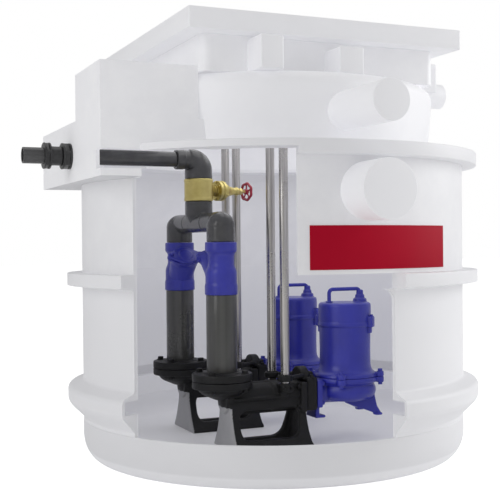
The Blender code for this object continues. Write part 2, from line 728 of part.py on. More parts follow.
def build():
    clear_scene()
    chamber_base()
    lower_wall()
    upper_wall()
    rim()
    neck()
    turret()
    lid()
    outlet_box()
    stubs()
    label()
    # The branches of the check valves slant towards each other
    slants = ((0.083, 0.9965), (-0.083, -0.9965))
    for number, (y, slant) in enumerate(zip((-LINE_Y, LINE_Y), slants), start=1):
        pedestal(number, y)
        riser(number, y)
        check_valve(number, y, slant)
        pump_volute(number, y)
        pump_motor(number, y)
        pump_handle(number, y)
        pump_claw(number, y)
    manifold()
    gate_valve()
    handwheel()
    discharge()
    rails()


build()
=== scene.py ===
import math

import bmesh
import bpy
import numpy as np
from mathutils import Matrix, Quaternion, Vector


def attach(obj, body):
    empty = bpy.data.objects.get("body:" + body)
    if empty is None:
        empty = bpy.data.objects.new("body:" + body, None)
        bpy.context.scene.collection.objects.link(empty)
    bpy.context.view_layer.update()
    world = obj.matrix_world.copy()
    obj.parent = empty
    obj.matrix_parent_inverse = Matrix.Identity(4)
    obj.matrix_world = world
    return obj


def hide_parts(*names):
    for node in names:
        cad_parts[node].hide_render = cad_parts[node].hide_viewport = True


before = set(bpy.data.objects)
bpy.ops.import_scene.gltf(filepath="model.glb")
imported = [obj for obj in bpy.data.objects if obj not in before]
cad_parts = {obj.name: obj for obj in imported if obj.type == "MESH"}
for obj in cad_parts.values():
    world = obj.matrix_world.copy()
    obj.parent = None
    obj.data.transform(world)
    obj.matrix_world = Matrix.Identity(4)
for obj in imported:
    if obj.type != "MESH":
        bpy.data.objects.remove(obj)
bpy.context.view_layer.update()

print("frame loaded,", len(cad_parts), "nodes")


# shapes on a grid
# A shell is (points, faces, finish number). Several shells make one piece.


def unit(vector):
    # a vector over its own length
    vector = np.asarray(vector, float)
    return vector / np.linalg.norm(vector, axis=-1, keepdims=True)


def axesFor(along):
    # across, up and along, at right angles; across lies level where it can
    w = unit(along)
    u = unit(np.cross((0.0, 0.0, 1.0), w)) if abs(w[2]) < 0.95 else np.array((1.0, 0.0, 0.0))
    return u, np.cross(w, u), w


def rounded(corners, reach, steps=4, closed=True):
    # every corner P becomes (1-t)^2 A + 2t(1-t) P + t^2 C, with A and C on its two sides
    p = np.asarray(corners, float)
    before, after = np.roll(p, 1, 0) - p, np.roll(p, -1, 0) - p
    room = np.minimum(np.linalg.norm(before, axis=1), np.linalg.norm(after, axis=1))
    reach = np.minimum(np.broadcast_to(reach, len(p)), 0.48 * room)[:, None]
    a, c = p + unit(before) * reach, p + unit(after) * reach
    t = np.linspace(0, 1, steps + 1)[None, :, None]
    curve = (1 - t) ** 2 * a[:, None] + 2 * t * (1 - t) * p[:, None] + t**2 * c[:, None]
    if closed:
        return curve.reshape(-1, p.shape[1])
    return np.concatenate([p[:1], curve[1:-1].reshape(-1, p.shape[1]), p[-1:]])


def arc(centre, radii, start, end, steps):
    # centre + (a cos t, b sin t), t from start to end
    t = np.radians(np.linspace(start, end, steps + 1))
    return np.stack([centre[0] + radii[0] * np.cos(t), centre[1] + radii[1] * np.sin(t)], 1)


def roundBox(halfWide, halfHigh, corner, steps=5):
    # a rectangle's outline with quarter-circle corners
    corners = [(halfWide, -halfHigh), (halfWide, halfHigh), (-halfWide, halfHigh), (-halfWide, -halfHigh)]
    return rounded(corners, corner * 1.25, steps)


def grid(points, closeRows=False, closeColumns=False, caps=False, finish=0):
    # neighbours on a rows x columns grid of points become quads, and caps close the end rows
    rows, columns = points.shape[:2]
    index = np.arange(rows * columns).reshape(rows, columns)
    if closeRows:
        index = np.vstack([index, index[:1]])
    if closeColumns:
        index = np.hstack([index, index[:, :1]])
    corners = [index[:-1, :-1], index[:-1, 1:], index[1:, 1:], index[1:, :-1]]
    faces = np.stack(corners, -1).reshape(-1, 4).tolist()
    if caps:
        faces += [index[0, :columns][::-1].tolist(), index[-1, :columns].tolist()]
    return points.reshape(-1, 3), faces, finish


def turned(outline, at=(0, 0, 0), along=(0, 0, 1), sides=48, span=None, ring=False, finish=0):
    # (radius, height) carried round an axis: at + r (cos a u + sin a v) + h w
    profile = np.asarray(outline, float)
    u, v, w = axesFor(along)
    if span:
        a = np.radians(np.linspace(span[0], span[1], sides + 1))
    else:
        a = np.linspace(0, 2 * math.pi, sides, endpoint=False)
    around = np.cos(a)[:, None] * u + np.sin(a)[:, None] * v
    points = profile[None, :, :1] * around[:, None, :] + profile[None, :, 1:] * w + np.asarray(at)
    return grid(points, span is None, ring, span is not None, finish)


def solidTurned(corners, soft=0.002, steps=3, **where):
    # a turned solid whose outline starts and ends on the axis, with softened corners
    return turned(rounded(corners, soft, steps, closed=False), **where)


def carried(section, path, up, size=None):
    # path + size (a side + b up), where side is the path's direction crossed with up
    path, section = np.asarray(path, float), np.asarray(section, float)
    ahead = np.gradient(path, axis=0)
    side = unit(np.cross(unit(ahead), np.asarray(up, float)))
    rise = unit(np.cross(side, unit(ahead)))
    size = np.ones(len(path)) if size is None else np.asarray(size, float)
    spread = section[None, :, :1] * side[:, None] + section[None, :, 1:] * rise[:, None]
    points = path[:, None] + size[:, None, None] * spread
    return grid(points, False, True, True)


def spin(degrees):
    # the level direction at an angle from +X
    angle = math.radians(degrees)
    return np.array((math.cos(angle), math.sin(angle), 0.0))


def shifted(shells, y):
    # every point p becomes p + (0, y, 0)
    return [(points + np.array((0, y, 0)), faces, marks) for points, faces, marks in shells]


def circle(radius, sides=24):
    # r (cos t, sin t), its first point not repeated at the end
    return arc((0, 0), (radius, radius), 0, 360 - 360 / sides, sides - 1)


def outward(outline):
    # the outline's normals, away from its inside
    ahead = np.roll(outline, -1, 0) - np.roll(outline, 1, 0)
    crossed = outline[:, 0] * np.roll(outline[:, 1], -1) - np.roll(outline[:, 0], -1) * outline[:, 1]
    sign = 1.0 if crossed.sum() > 0 else -1.0
    return unit(np.stack([ahead[:, 1], -ahead[:, 0]], 1)) * sign


def slab(outline, low, high, at=(0, 0, 0), along=(0, 0, 1), edge=0.002, axes=None, finish=0):
    # an outline drawn from low to high, pulled in by edge (1 - sin t) near both ends
    outline = np.asarray(outline, float)
    u, v, w = axes if axes is not None else axesFor(along)
    t = np.linspace(0, math.pi / 2, 4)
    inset = edge * (1 - np.sin(t))
    level = edge * (1 - np.cos(t))
    insets = np.concatenate([inset, inset[::-1]])
    levels = np.concatenate([low + level, high - level[::-1]])
    flat = outline[None] - insets[:, None, None] * outward(outline)[None]
    points = flat[..., :1] * u + flat[..., 1:] * v + levels[:, None, None] * w + np.asarray(at, float)
    return grid(points, False, True, True, finish)


def plateX(outline, low, high, edge=0.002):
    # an outline of (y, z) drawn out along X
    axes = np.array((0, 1.0, 0)), np.array((0, 0, 1.0)), np.array((1.0, 0, 0))
    return slab(outline, low, high, edge=edge, axes=axes)


def plateY(outline, low, high, edge=0.002):
    # an outline of (x, z) drawn out along Y
    axes = np.array((1.0, 0, 0)), np.array((0, 0, 1.0)), np.array((0, 1.0, 0))
    return slab(outline, low, high, edge=edge, axes=axes)


def softBlock(low, high, edge=0.003):
    # a box between two corners, with round upright edges and eased ends
    low, high = np.asarray(low, float), np.asarray(high, float)
    half, middle = (high - low) / 2, (high + low) / 2
    edge = min(edge, 0.45 * half.min())
    return slab(roundBox(half[0], half[1], edge), -half[2], half[2], at=middle, edge=edge)


def plainBlock(low, high):
    # the eight corners of a box, for cutting with
    (x0, y0, z0), (x1, y1, z1) = low, high
    ring = np.array([(x0, y0), (x1, y0), (x1, y1), (x0, y1)])
    return grid(np.stack([np.column_stack([ring, np.full(4, z)]) for z in (z0, z1)]), False, True, True)


def squareLoft(rings, steps=6, closed=False):
    # rings of (half width, corner radius, z): each is a round square, joined to the next
    half, corner, z = np.asarray(rings, float).T
    t = np.radians(np.concatenate([np.linspace(90 * k, 90 * k + 90, steps + 1) for k in range(4)]))
    signs = np.repeat([(1, 1), (-1, 1), (-1, -1), (1, -1)], steps + 1, axis=0)
    arm = (half - corner)[:, None, None] * signs[None]
    bend = corner[:, None, None] * np.stack([np.cos(t), np.sin(t)], 1)[None]
    flat = arm + bend
    points = np.concatenate([flat, np.broadcast_to(z[:, None, None], flat.shape[:2] + (1,))], 2)
    return grid(points, closed, True, not closed)


def ballShell(centre, radius, sides=24):
    # r (sin p cos a, sin p sin a, cos p)
    p = np.linspace(0, math.pi, sides // 2 + 1)
    return turned(np.stack([radius * np.sin(p), radius * np.cos(p)], 1), at=centre, sides=sides)


def rodShell(start, end, radius, endRadius=None, soft=0.0015, sides=32):
    # a bar between two points, with eased end edges
    start, end = np.asarray(start, float), np.asarray(end, float)
    long = np.linalg.norm(end - start)
    tip = radius if endRadius is None else endRadius
    corners = [(0, 0), (radius, 0), (tip, long), (0, long)]
    return solidTurned(corners, soft, at=start, along=end - start, sides=sides)


def together(shells):
    # one list of all the shells, each one's corners counted on from the last
    points, faces, finishes, count = [], [], [], 0
    for corners, quads, marks in shells:
        points.append(np.asarray(corners, float))
        faces += [[corner + count for corner in face] for face in quads]
        finishes += list(marks) if np.ndim(marks) else [marks] * len(quads)
        count += len(points[-1])
    return np.concatenate(points), faces, finishes


weldDistance = 2e-6


def meshOf(name, shells):
    # all the shells as one mesh, with points closer than the weld distance joined
    points, faces, finishes = together(shells)
    mesh = bpy.data.meshes.new(name)
    mesh.from_pydata(points, [], faces)
    mesh.polygons.foreach_set("material_index", finishes)
    bm = bmesh.new()
    bm.from_mesh(mesh)
    bmesh.ops.remove_doubles(bm, verts=bm.verts, dist=weldDistance)
    bmesh.ops.recalc_face_normals(bm, faces=bm.faces)
    bm.to_mesh(mesh)
    bm.free()
    return mesh


def spareObject(name, shells):
    # an object for a modifier to work on
    spare = bpy.data.objects.new(name, meshOf(name, shells))
    bpy.context.scene.collection.objects.link(spare)
    return spare


def shellOf(spare, *others):
    # the object as its modifiers leave it, taken back as a shell; the objects go
    graph = bpy.context.evaluated_depsgraph_get()
    seen = spare.evaluated_get(graph)
    mesh = seen.to_mesh()
    points = np.empty(len(mesh.vertices) * 3)
    mesh.vertices.foreach_get("co", points)
    faces = [list(face.vertices) for face in mesh.polygons]
    seen.to_mesh_clear()
    for thing in (spare, *others):
        data = thing.data
        bpy.data.objects.remove(thing)
        bpy.data.meshes.remove(data)
    return points.reshape(-1, 3), faces, 0


def carve(shells, *cutters):
    # the shells less each cutter
    body = spareObject("carved", shells)
    tools = []
    for cutter in cutters:
        tool = spareObject("cutter", [cutter])
        tool.hide_render = True
        step = body.modifiers.new("carve", "BOOLEAN")
        step.operation = "DIFFERENCE"
        step.object = tool
        tools.append(tool)
    return shellOf(body, *tools)


def melt(shells, voxel, smooth=3, keep=1.0):
    # closed shells grown into one skin, as a casting flows round its corners
    body = spareObject("melted", shells)
    skin = body.modifiers.new("skin", "REMESH")
    skin.mode = "VOXEL"
    skin.voxel_size = voxel
    ease = body.modifiers.new("ease", "SMOOTH")
    ease.factor = 0.5
    ease.iterations = smooth
    if keep < 1.0:
        thin = body.modifiers.new("thin", "DECIMATE")
        thin.ratio = keep
    return shellOf(body)


def piece(name, shells, finishes, body, nodes=(), slot=None, bevel=0.0, angle=38):
    # one visible object, smooth but for edges sharper than the angle, and the nodes it stands for
    mesh = meshOf(name, shells)
    mesh.shade_smooth()
    mesh.set_sharp_from_angle(angle=math.radians(angle))
    for finish in finishes if isinstance(finishes, (list, tuple)) else [finishes]:
        mesh.materials.append(finish)
    made = bpy.data.objects.new(name, mesh)
    bpy.context.scene.collection.objects.link(made)
    if bevel:
        ease = made.modifiers.new("eased edges", "BEVEL")
        ease.width = bevel
        ease.segments = 3
        ease.limit_method = "ANGLE"
        ease.angle_limit = math.radians(50)
        ease.harden_normals = True
    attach(made, body)
    if nodes:
        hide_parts(*nodes)
    return made


def shellPiece(name, shells, finishes, *nodes, **more):
    # a piece of the white chamber
    return piece(name, shells, finishes, "station", nodes, "moulded_plastic", **more)


def hexOutline(across, turn=0.0):
    # six corners 60 degrees apart, at across / sqrt 3 from the middle
    t = np.radians(np.arange(6) * 60 + turn)
    return rounded(np.stack([np.cos(t), np.sin(t)], 1) * across / math.sqrt(3), across * 0.04, 2)


def bolt(at, along, across=0.016, head=0.008, washer=True, finish=0):
    # a hexagon head over a thin washer
    at, along = np.asarray(at, float), unit(along)
    shells = [slab(hexOutline(across), 0.0, head, at=at + along * 0.0015, along=along,
                   edge=across * 0.08, finish=finish)]
    if washer:
        disc = [(0, -0.001), (across * 0.72, -0.001), (across * 0.72, 0.002), (0, 0.002)]
        shells.append(solidTurned(disc, 0.0006, 2, at=at, along=along, sides=20, finish=finish))
    return shells


# finishes


def effect(name, inputs, outputs):
    # a node group: its inputs' and outputs' sockets, and the place on the surface
    group = bpy.data.node_groups.new(name, "ShaderNodeTree")
    for title, kind, value in inputs:
        socket = group.interface.new_socket(title, in_out="INPUT", socket_type="NodeSocket" + kind)
        socket.default_value = value
    for title in outputs:
        group.interface.new_socket(title, in_out="OUTPUT", socket_type="NodeSocketFloat")
    given, out = group.nodes.new("NodeGroupInput").outputs, group.nodes.new("NodeGroupOutput").inputs
    return group, given, out, node(group, "TexCoord").outputs["Object"]


def node(tree, kind, **settings):
    made = tree.nodes.new("ShaderNode" + kind)
    for title, value in settings.items():
        setattr(made, title, value)
    return made


def put(tree, source, socket):
    # a link from another node's output, or a plain number or colour
    if isinstance(source, bpy.types.NodeSocket):
        tree.links.new(source, socket)
    elif socket.type == "RGBA":
        socket.default_value = (*source, 1.0)
    else:
        socket.default_value = source


def spread(tree, source, low, high, to=(0.0, 1.0)):
    # a value stretched from low..high to a new range, held at its ends
    made = node(tree, "MapRange", clamp=True)
    titles = "Value", "From Min", "From Max", "To Min", "To Max"
    for title, value in zip(titles, (source, low, high, *to)):
        put(tree, value, made.inputs[title])
    return made.outputs["Result"]


def blended(tree, factor, first, second):
    made = node(tree, "Mix", data_type="RGBA")
    for title, value in (("Factor", factor), ("A", first), ("B", second)):
        put(tree, value, made.inputs[title])
    return made.outputs["Result"]


def calc(tree, operation, first, second):
    made = node(tree, "Math", operation=operation)
    put(tree, first, made.inputs[0])
    put(tree, second, made.inputs[1])
    return made.outputs[0]


def vectorOf(tree, operation, first, second=None):
    made = node(tree, "VectorMath", operation=operation)
    put(tree, first, made.inputs[0])
    if second is not None:
        put(tree, second, made.inputs[1])
    return made.outputs["Value" if operation == "LENGTH" else "Vector"]


def noiseOf(tree, vector, size, detail=3.0, rough=0.5):
    made = node(tree, "TexNoise")
    for title, value in (("Vector", vector), ("Scale", size), ("Detail", detail), ("Roughness", rough)):
        put(tree, value, made.inputs[title])
    return made.outputs["Fac"]


def makeGrain():
    # two sizes of noise: a slow one mottles the colour, a fine one is the skin
    group, given, out, place = effect(
        "surface grain",
        [("Mottle Scale", "Float", 4.0), ("Grain Scale", "Float", 120.0), ("Rough Low", "Float", 0.4),
         ("Rough High", "Float", 0.55)],
        ["Mottle", "Roughness", "Height"],
    )
    slow = noiseOf(group, place, given["Mottle Scale"], 4.0, 0.55)
    fine = noiseOf(group, place, given["Grain Scale"], 3.0, 0.6)
    mottle = spread(group, slow, 0.32, 0.68)
    span = calc(group, "SUBTRACT", given["Rough High"], given["Rough Low"])
    both = calc(group, "ADD", calc(group, "MULTIPLY", mottle, 0.6), calc(group, "MULTIPLY", fine, 0.4))
    put(group, mottle, out["Mottle"])
    put(group, calc(group, "ADD", given["Rough Low"], calc(group, "MULTIPLY", both, span)), out["Roughness"])
    put(group, fine, out["Height"])
    return group


def makeEdges():
    # sharp convex edges, broken up by noise, and hollows
    group, given, out, place = effect(
        "edge wear", [("Reach", "Float", 0.06), ("Break Scale", "Float", 60.0)], ["Worn", "Hollow"]
    )
    point = node(group, "NewGeometry").outputs["Pointiness"]
    breaks = spread(group, noiseOf(group, place, given["Break Scale"], 4.0, 0.65), 0.42, 0.62)
    ridge = spread(group, point, 0.52, calc(group, "ADD", 0.52, given["Reach"]))
    put(group, calc(group, "MULTIPLY", ridge, breaks), out["Worn"])
    put(group, spread(group, point, 0.49, 0.44), out["Hollow"])
    return group


def makeStreaks():
    # noise stretched along one way, for drawn pipe and brushed bar
    group, given, out, place = effect(
        "drawn streaks", [("Stretch", "Vector", (60.0, 60.0, 1.5))], ["Streak", "Fine"]
    )
    scaled = vectorOf(group, "MULTIPLY", place, given["Stretch"])
    put(group, noiseOf(group, scaled, 1.0, 2.0), out["Streak"])
    put(group, noiseOf(group, scaled, 6.0, 3.0, 0.7), out["Fine"])
    return group


def makeDust():
    # what settles on faces that look up, patchy
    group, given, out, place = effect("settled dust", [("Patch Scale", "Float", 25.0)], ["Dust"])
    split = node(group, "SeparateXYZ")
    put(group, node(group, "NewGeometry").outputs["Normal"], split.inputs[0])
    level = spread(group, split.outputs["Z"], 0.35, 1.0)
    patch = spread(group, noiseOf(group, place, given["Patch Scale"], 5.0, 0.6), 0.35, 0.7)
    put(group, calc(group, "MULTIPLY", level, patch), out["Dust"])
    return group


def makeInsideGlowMask():
    # faces within the chamber's bore, where the wall gets more painted glow, standing for the light through
    # the wall from behind
    group, given, out, place = effect("chamber inside", [("Bore", "Float", 0.593)], ["Inside"])
    reach = vectorOf(group, "LENGTH", vectorOf(group, "MULTIPLY", place, (1.0, 1.0, 0.0)))
    put(group, spread(group, calc(group, "SUBTRACT", given["Bore"], reach), 0.0, 0.003), out["Inside"])
    return group


grainEffect, edgeEffect, streakEffect, dustEffect = makeGrain(), makeEdges(), makeStreaks(), makeDust()
insideGlowMask = makeInsideGlowMask()


class Finish:
    # one material in the making: its shader, and effects placed with their own values
    def __init__(self, name, **sockets):
        self.material = bpy.data.materials.new(name)
        self.material.use_nodes = True
        self.tree = self.material.node_tree
        self.shader = self.tree.nodes["Principled BSDF"]
        for title, value in sockets.items():
            self.shader.inputs[title.replace("_", " ")].default_value = value

    def use(self, group, **values):
        made = node(self.tree, "Group")
        made.node_tree = group
        for title, value in values.items():
            made.inputs[title.replace("_", " ")].default_value = value
        return made.outputs

    def grain(self, mottle, fine, rough):
        # the grain effect, which also sets the roughness between two levels
        made = self.use(grainEffect, Mottle_Scale=mottle, Grain_Scale=fine, Rough_Low=rough[0],
                        Rough_High=rough[1])
        self.feed("Roughness", made["Roughness"])
        return made

    def feed(self, title, source):
        self.tree.links.new(source, self.shader.inputs[title])

    def over(self, mask, amount, first, second):
        # second laid over first, by a mask times an amount
        return blended(self.tree, calc(self.tree, "MULTIPLY", mask, amount), first, second)

    def bump(self, height, distance, strength=1.0):
        made = node(self.tree, "Bump")
        made.inputs["Distance"].default_value = distance
        made.inputs["Strength"].default_value = strength
        self.tree.links.new(height, made.inputs["Height"])
        self.feed("Normal", made.outputs["Normal"])


moulded = {"light": (0.745, 0.745, 0.765), "shade": (0.720, 0.720, 0.742), "rough": (0.42, 0.58)}


def mouldedPlastic(name, glow, within=0.0):
    # painted light: the wall lets some light through, which a faint glow of its own colour stands for:
    # glow everywhere, and glow + within on the faces inside the bore
    finish = Finish(name, IOR=1.5, Emission_Strength=glow + within)
    inside = finish.use(insideGlowMask)["Inside"]
    share = spread(finish.tree, inside, 0.0, 1.0, (glow / (glow + within), 1.0))
    grain = finish.grain(1.6, 260.0, moulded["rough"])
    edges = finish.use(edgeEffect, Reach=0.12, Break_Scale=14.0)
    dust = finish.use(dustEffect, Patch_Scale=7.0)
    base = blended(finish.tree, grain["Mottle"], moulded["shade"], moulded["light"])
    soiled = finish.over(dust["Dust"], 0.06, base, (0.52, 0.51, 0.48))
    worn = finish.over(edges["Worn"], 0.15, soiled, (0.90, 0.90, 0.90))
    finish.feed("Base Color", worn)
    finish.feed("Emission Color", blended(finish.tree, share, (0.0, 0.0, 0.0), worn))
    finish.bump(grain["Height"], 0.0004, 0.35)
    return finish.material


def paintedCasting(name, light, shade, bare, rough=(0.28, 0.46), pits=0.0012, coat=0.25, gloss=0.5):
    finish = Finish(name, IOR=1.5, Specular_IOR_Level=gloss, Coat_Weight=coat, Coat_Roughness=0.25)
    grain = finish.grain(9.0, 170.0, rough)
    edges = finish.use(edgeEffect, Reach=0.07, Break_Scale=90.0)
    dust = finish.use(dustEffect, Patch_Scale=30.0)
    base = blended(finish.tree, grain["Mottle"], shade, light)
    # painted shade: hollows turn a darker tone of the paint
    shadedHollows = finish.over(edges["Hollow"], 0.75, base, tuple(0.35 * part for part in shade))
    dusty = finish.over(dust["Dust"], 0.04, shadedHollows, (0.30, 0.30, 0.32))
    worn = finish.over(edges["Worn"], 0.55, dusty, bare)
    finish.feed("Base Color", worn)
    finish.bump(grain["Height"], pits, 0.5)
    return finish.material


def drawnPlastic(name, light, shade, rough=(0.22, 0.40), stretch=(70.0, 70.0, 1.2)):
    finish = Finish(name, IOR=1.52, Coat_Weight=0.15, Coat_Roughness=0.12)
    streaks = finish.use(streakEffect, Stretch=stretch)
    finish.grain(6.0, 90.0, rough)
    edges = finish.use(edgeEffect, Reach=0.14, Break_Scale=50.0)
    base = blended(finish.tree, spread(finish.tree, streaks["Streak"], 0.30, 0.70), shade, light)
    worn = finish.over(edges["Worn"], 0.2, base, tuple(min(1.0, 1.8 * part) for part in light))
    finish.feed("Base Color", worn)
    finish.bump(streaks["Fine"], 0.00015, 0.35)
    return finish.material


def brushedMetal(name, light, shade):
    finish = Finish(name, Metallic=1.0)
    streaks = finish.use(streakEffect, Stretch=(260.0, 260.0, 3.0))
    finish.grain(5.0, 60.0, (0.20, 0.38))
    base = blended(finish.tree, spread(finish.tree, streaks["Streak"], 0.3, 0.7), shade, light)
    finish.feed("Base Color", base)
    finish.bump(streaks["Fine"], 0.00012, 0.4)
    return finish.material


def castBrass(name):
    finish = Finish(name, Metallic=1.0)
    grain = finish.grain(14.0, 220.0, (0.26, 0.48))
    edges = finish.use(edgeEffect, Reach=0.08, Break_Scale=60.0)
    base = blended(finish.tree, grain["Mottle"], (0.50, 0.40, 0.13), (0.72, 0.62, 0.25))
    dull = blended(finish.tree, edges["Hollow"], base, (0.20, 0.15, 0.05))
    worn = finish.over(edges["Worn"], 0.7, dull, (0.92, 0.84, 0.50))
    finish.feed("Base Color", worn)
    finish.bump(grain["Height"], 0.0006, 0.4)
    return finish.material


def printedFilm(name, colour, shade):
    finish = Finish(name, IOR=1.45, Specular_IOR_Level=0.12)
    grain = finish.grain(5.0, 400.0, (0.52, 0.66))
    finish.feed("Base Color", blended(finish.tree, grain["Mottle"], shade, colour))
    finish.bump(grain["Height"], 0.0001, 0.3)
    return finish.material


# copies of one moulded plastic that differ only in their painted glow, so each part is lit or shaded by its
# own glow
shellWhite = mouldedPlastic("moulded shell", 0.14, 0.08)
shellNeck = mouldedPlastic("moulded neck", 0.26)
shellTop = mouldedPlastic("moulded top", 0.22)
shellLow = mouldedPlastic("moulded base", 0.08, 0.10)
# painted shade for the side box's underside: nearly no glow
paintedShadeUnder = mouldedPlastic("moulded underside", 0.01)
royalBlue = paintedCasting("royal blue enamel", (0.030, 0.036, 0.42), (0.021, 0.025, 0.33),
                           (0.12, 0.13, 0.55))
blackIron = paintedCasting("black casting", (0.009, 0.009, 0.010), (0.005, 0.005, 0.0055),
                           (0.04, 0.04, 0.04), rough=(0.42, 0.66), pits=0.0022, coat=0.0, gloss=0.34)
# painted light: a lit grey copy of the black casting, for the legs' left face that faces the light
paintedLitIron = paintedCasting("lit grey casting", (0.42, 0.42, 0.43), (0.35, 0.35, 0.36), (0.50, 0.50, 0.50),
                          rough=(0.45, 0.65), pits=0.0016, coat=0.0)
pipeGrey = drawnPlastic("grey pipe", (0.080, 0.080, 0.076), (0.056, 0.056, 0.053))
fittingGrey = drawnPlastic("charcoal fitting", (0.070, 0.070, 0.072), (0.052, 0.052, 0.054),
                           rough=(0.16, 0.32), stretch=(25.0, 25.0, 25.0))
unionBlack = drawnPlastic("union nut black", (0.022, 0.022, 0.024), (0.015, 0.015, 0.016), rough=(0.25, 0.45),
                          stretch=(40.0, 40.0, 40.0))
railSteel = brushedMetal("rail steel", (0.60, 0.58, 0.56), (0.36, 0.35, 0.34))
yellowBrass = castBrass("valve brass")
wheelRed = paintedCasting("wheel red enamel", (0.42, 0.014, 0.045), (0.30, 0.010, 0.035), (0.60, 0.20, 0.22),
                          rough=(0.25, 0.40), pits=0.0006, coat=0.4)
labelRed = printedFilm("label film", (0.43, 0.001, 0.020), (0.40, 0.001, 0.018))
print("finishes made")


# chamber

chamber = {
    "radius": 0.600, "inner": 0.588, "floor": 0.050, "baseTop": 0.125, "ribTop": 0.573, "rimBottom": 0.890,
    "rimTop": 0.929, "neckTop": 1.130, "turretTop": 1.232,
    # degrees round from +X where the front is cut open
    "cutLeft": 206.0, "cutLowerRight": 279.3, "cutUpperRight": 252.0,
}
gap = 0.0003  # between neighbours
outside, inside = chamber["radius"], chamber["inner"]

base = {"heel": ((0.548, 0.079), (0.052, 0.079)), "bowl": ((0.545, 0.093), (0.043, 0.043)), "lip": 0.0035}


def makeBase():
    # the bowl's section turned round the chamber's axis
    outer = arc(*base["heel"], 0, -90, 14)
    inner = arc(*base["bowl"], -90, 0, 10)
    top = chamber["baseTop"] - gap
    lip = rounded([inner[-1], (inside, top), (outside, top), outer[0]], base["lip"], 3, closed=False)
    outline = np.concatenate([[(0, chamber["floor"])], inner[:-1], lip, outer[1:], [(0, 0)]])
    shellPiece("tankBase", [turned(outline, sides=160)], shellLow, "chamber_base")


band = {
    "rib": 0.646, "ribFoot": 0.535, "drop": 0.004,
    "bulge": [(0.600, 0.246), (0.640, 0.231), (0.6462, 0.222), (0.6462, 0.188), (0.640, 0.176),
              (0.600, 0.136)],
    "channel": [(0.588, 0.188), (0.636, 0.188), (0.636, 0.226), (0.588, 0.226)],
    "soft": [0.003, 0.003, 0.006, 0.008, 0.006, 0.005, 0.005, 0.006, 0.008, 0.0, 0.0] + [0.002] * 4 + [0.0],
}
inlet = {"x": 0.01, "z": 0.795, "radius": 0.080, "bore": 0.070}
outletBox = {
    "low": ((-0.650, -0.348, 0.840), (-0.320, 0.384, 1.014)),
    "tall": ((-0.650, -0.345, 0.900), (-0.320, -0.070, 1.146)),
    "rooms": [((-0.640, -0.338, 0.850), (-0.200, 0.374, 1.004)),
              ((-0.640, -0.338, 0.950), (-0.200, -0.080, 1.136))],
    "inWall": ((-0.760, -0.348 - gap, 0.840 - gap), (-0.300, 0.384 + gap, 1.214)),
    "inNeck": ((-0.700, -0.338, 0.900), (-0.300, 0.374, 1.004)),
    "underside": 0.8405, "edge": 0.0015,
}


def bandOutline():
    # outer side down from the rib, with the bulge, then up the inside with its channel
    top, low = chamber["ribTop"] - gap, chamber["baseTop"]
    rib = [(band["rib"], top), (band["rib"], band["ribFoot"]), (outside, band["ribFoot"] - band["drop"])]
    corners = rib + band["bulge"] + [(outside, low), (inside, low)] + band["channel"] + [(inside, top)]
    return rounded(corners, np.maximum(band["soft"], 1e-5), 5)


def makeBands():
    # both bands are a section turned from the cut's right edge round the back to its left
    span = (chamber["cutLowerRight"], chamber["cutLeft"] + 360)
    lower = turned(bandOutline(), sides=150, span=span, ring=True)
    nodes = ["lower_wall_" + side for side in ("left", "rear_left", "rear_right", "right")]
    shellPiece("lowerBand", [lower], shellWhite, *nodes)
    span = (chamber["cutUpperRight"], chamber["cutLeft"] + 360)
    low, high = chamber["ribTop"], chamber["rimBottom"] - gap
    section = [(outside, high), (outside, low), (inside, low), (inside, high)]
    wall = turned(section, sides=160, span=span, ring=True)
    x, z = inlet["x"], inlet["z"]
    inletHole = rodShell((x, -0.50, z), (x, -0.70, z), inlet["bore"], sides=64)
    upper = carve([wall], plainBlock(*outletBox["inWall"]), inletHole)
    nodes = ["upper_wall_" + side for side in ("front", "right", "rear", "left")]
    shellPiece("upperBand", [upper], shellWhite, *nodes)


cutCorner = {"size": 0.036, "top": 0.5305, "clear": 0.0004}


def makeCutCorner():
    # the round inner corner of the lower opening: a square corner less a quarter circle, bent to the wall
    size, wall = cutCorner["size"], np.array((inside, outside))
    t = np.linspace(0, math.pi / 2, 12)
    bow = np.stack([size * (1 - np.sin(t)), size * (1 - np.cos(t))], 1)
    across = np.concatenate([bow, [(0.0, 0.0)]])
    angle = np.radians(chamber["cutLowerRight"]) - (across[:, 0] + cutCorner["clear"]) / outside
    z = cutCorner["top"] - across[:, 1]
    ring = np.stack([np.cos(angle), np.sin(angle)], 1)
    points = np.stack([np.column_stack([ring * radius, z]) for radius in wall])
    shellPiece("cutCorner", [grid(points, False, True, True)], shellWhite)


rim = {
    "outline": [(0.644, 0.929), (0.644, 0.890), (0.588, 0.890), (0.588, 0.917), (0.483, 0.917),
                (0.483, 0.929)],
    "soft": [0.0035, 0.0035, 0.0001, 0.004, 0.0001, 0.0001],
    "span": (204.0, 512.0), "window": [(0.70, 0.909), (0.70, 0.85), (0.45, 0.85), (0.45, 0.909)],
}


def makeRim():
    # the rim's section turned over its span, less the box and what hangs over the opening
    ring = turned(rounded(rim["outline"], rim["soft"], 4), sides=170, span=rim["span"], ring=True)
    window = turned(rim["window"], sides=30, span=(200.0, chamber["cutUpperRight"]), ring=True)
    shells = [carve([ring], plainBlock(*outletBox["inWall"]), window)]
    shellPiece("rimRing", shells, shellWhite, "rim_front", "rim_right", "rim_rear")


neck = {
    "shoulder": ((0.470, 1.092), 0.038), "foot": 0.495, "inset": 0.30, "under": 1.118, "innerFoot": 0.483,
    "innerShoulder": ((0.466, 1.088), (0.030, 0.030)), "opening": (0.345, 0.05),
}
frontDuct = {"z": 1.02, "radius": 0.055, "bore": 0.045}


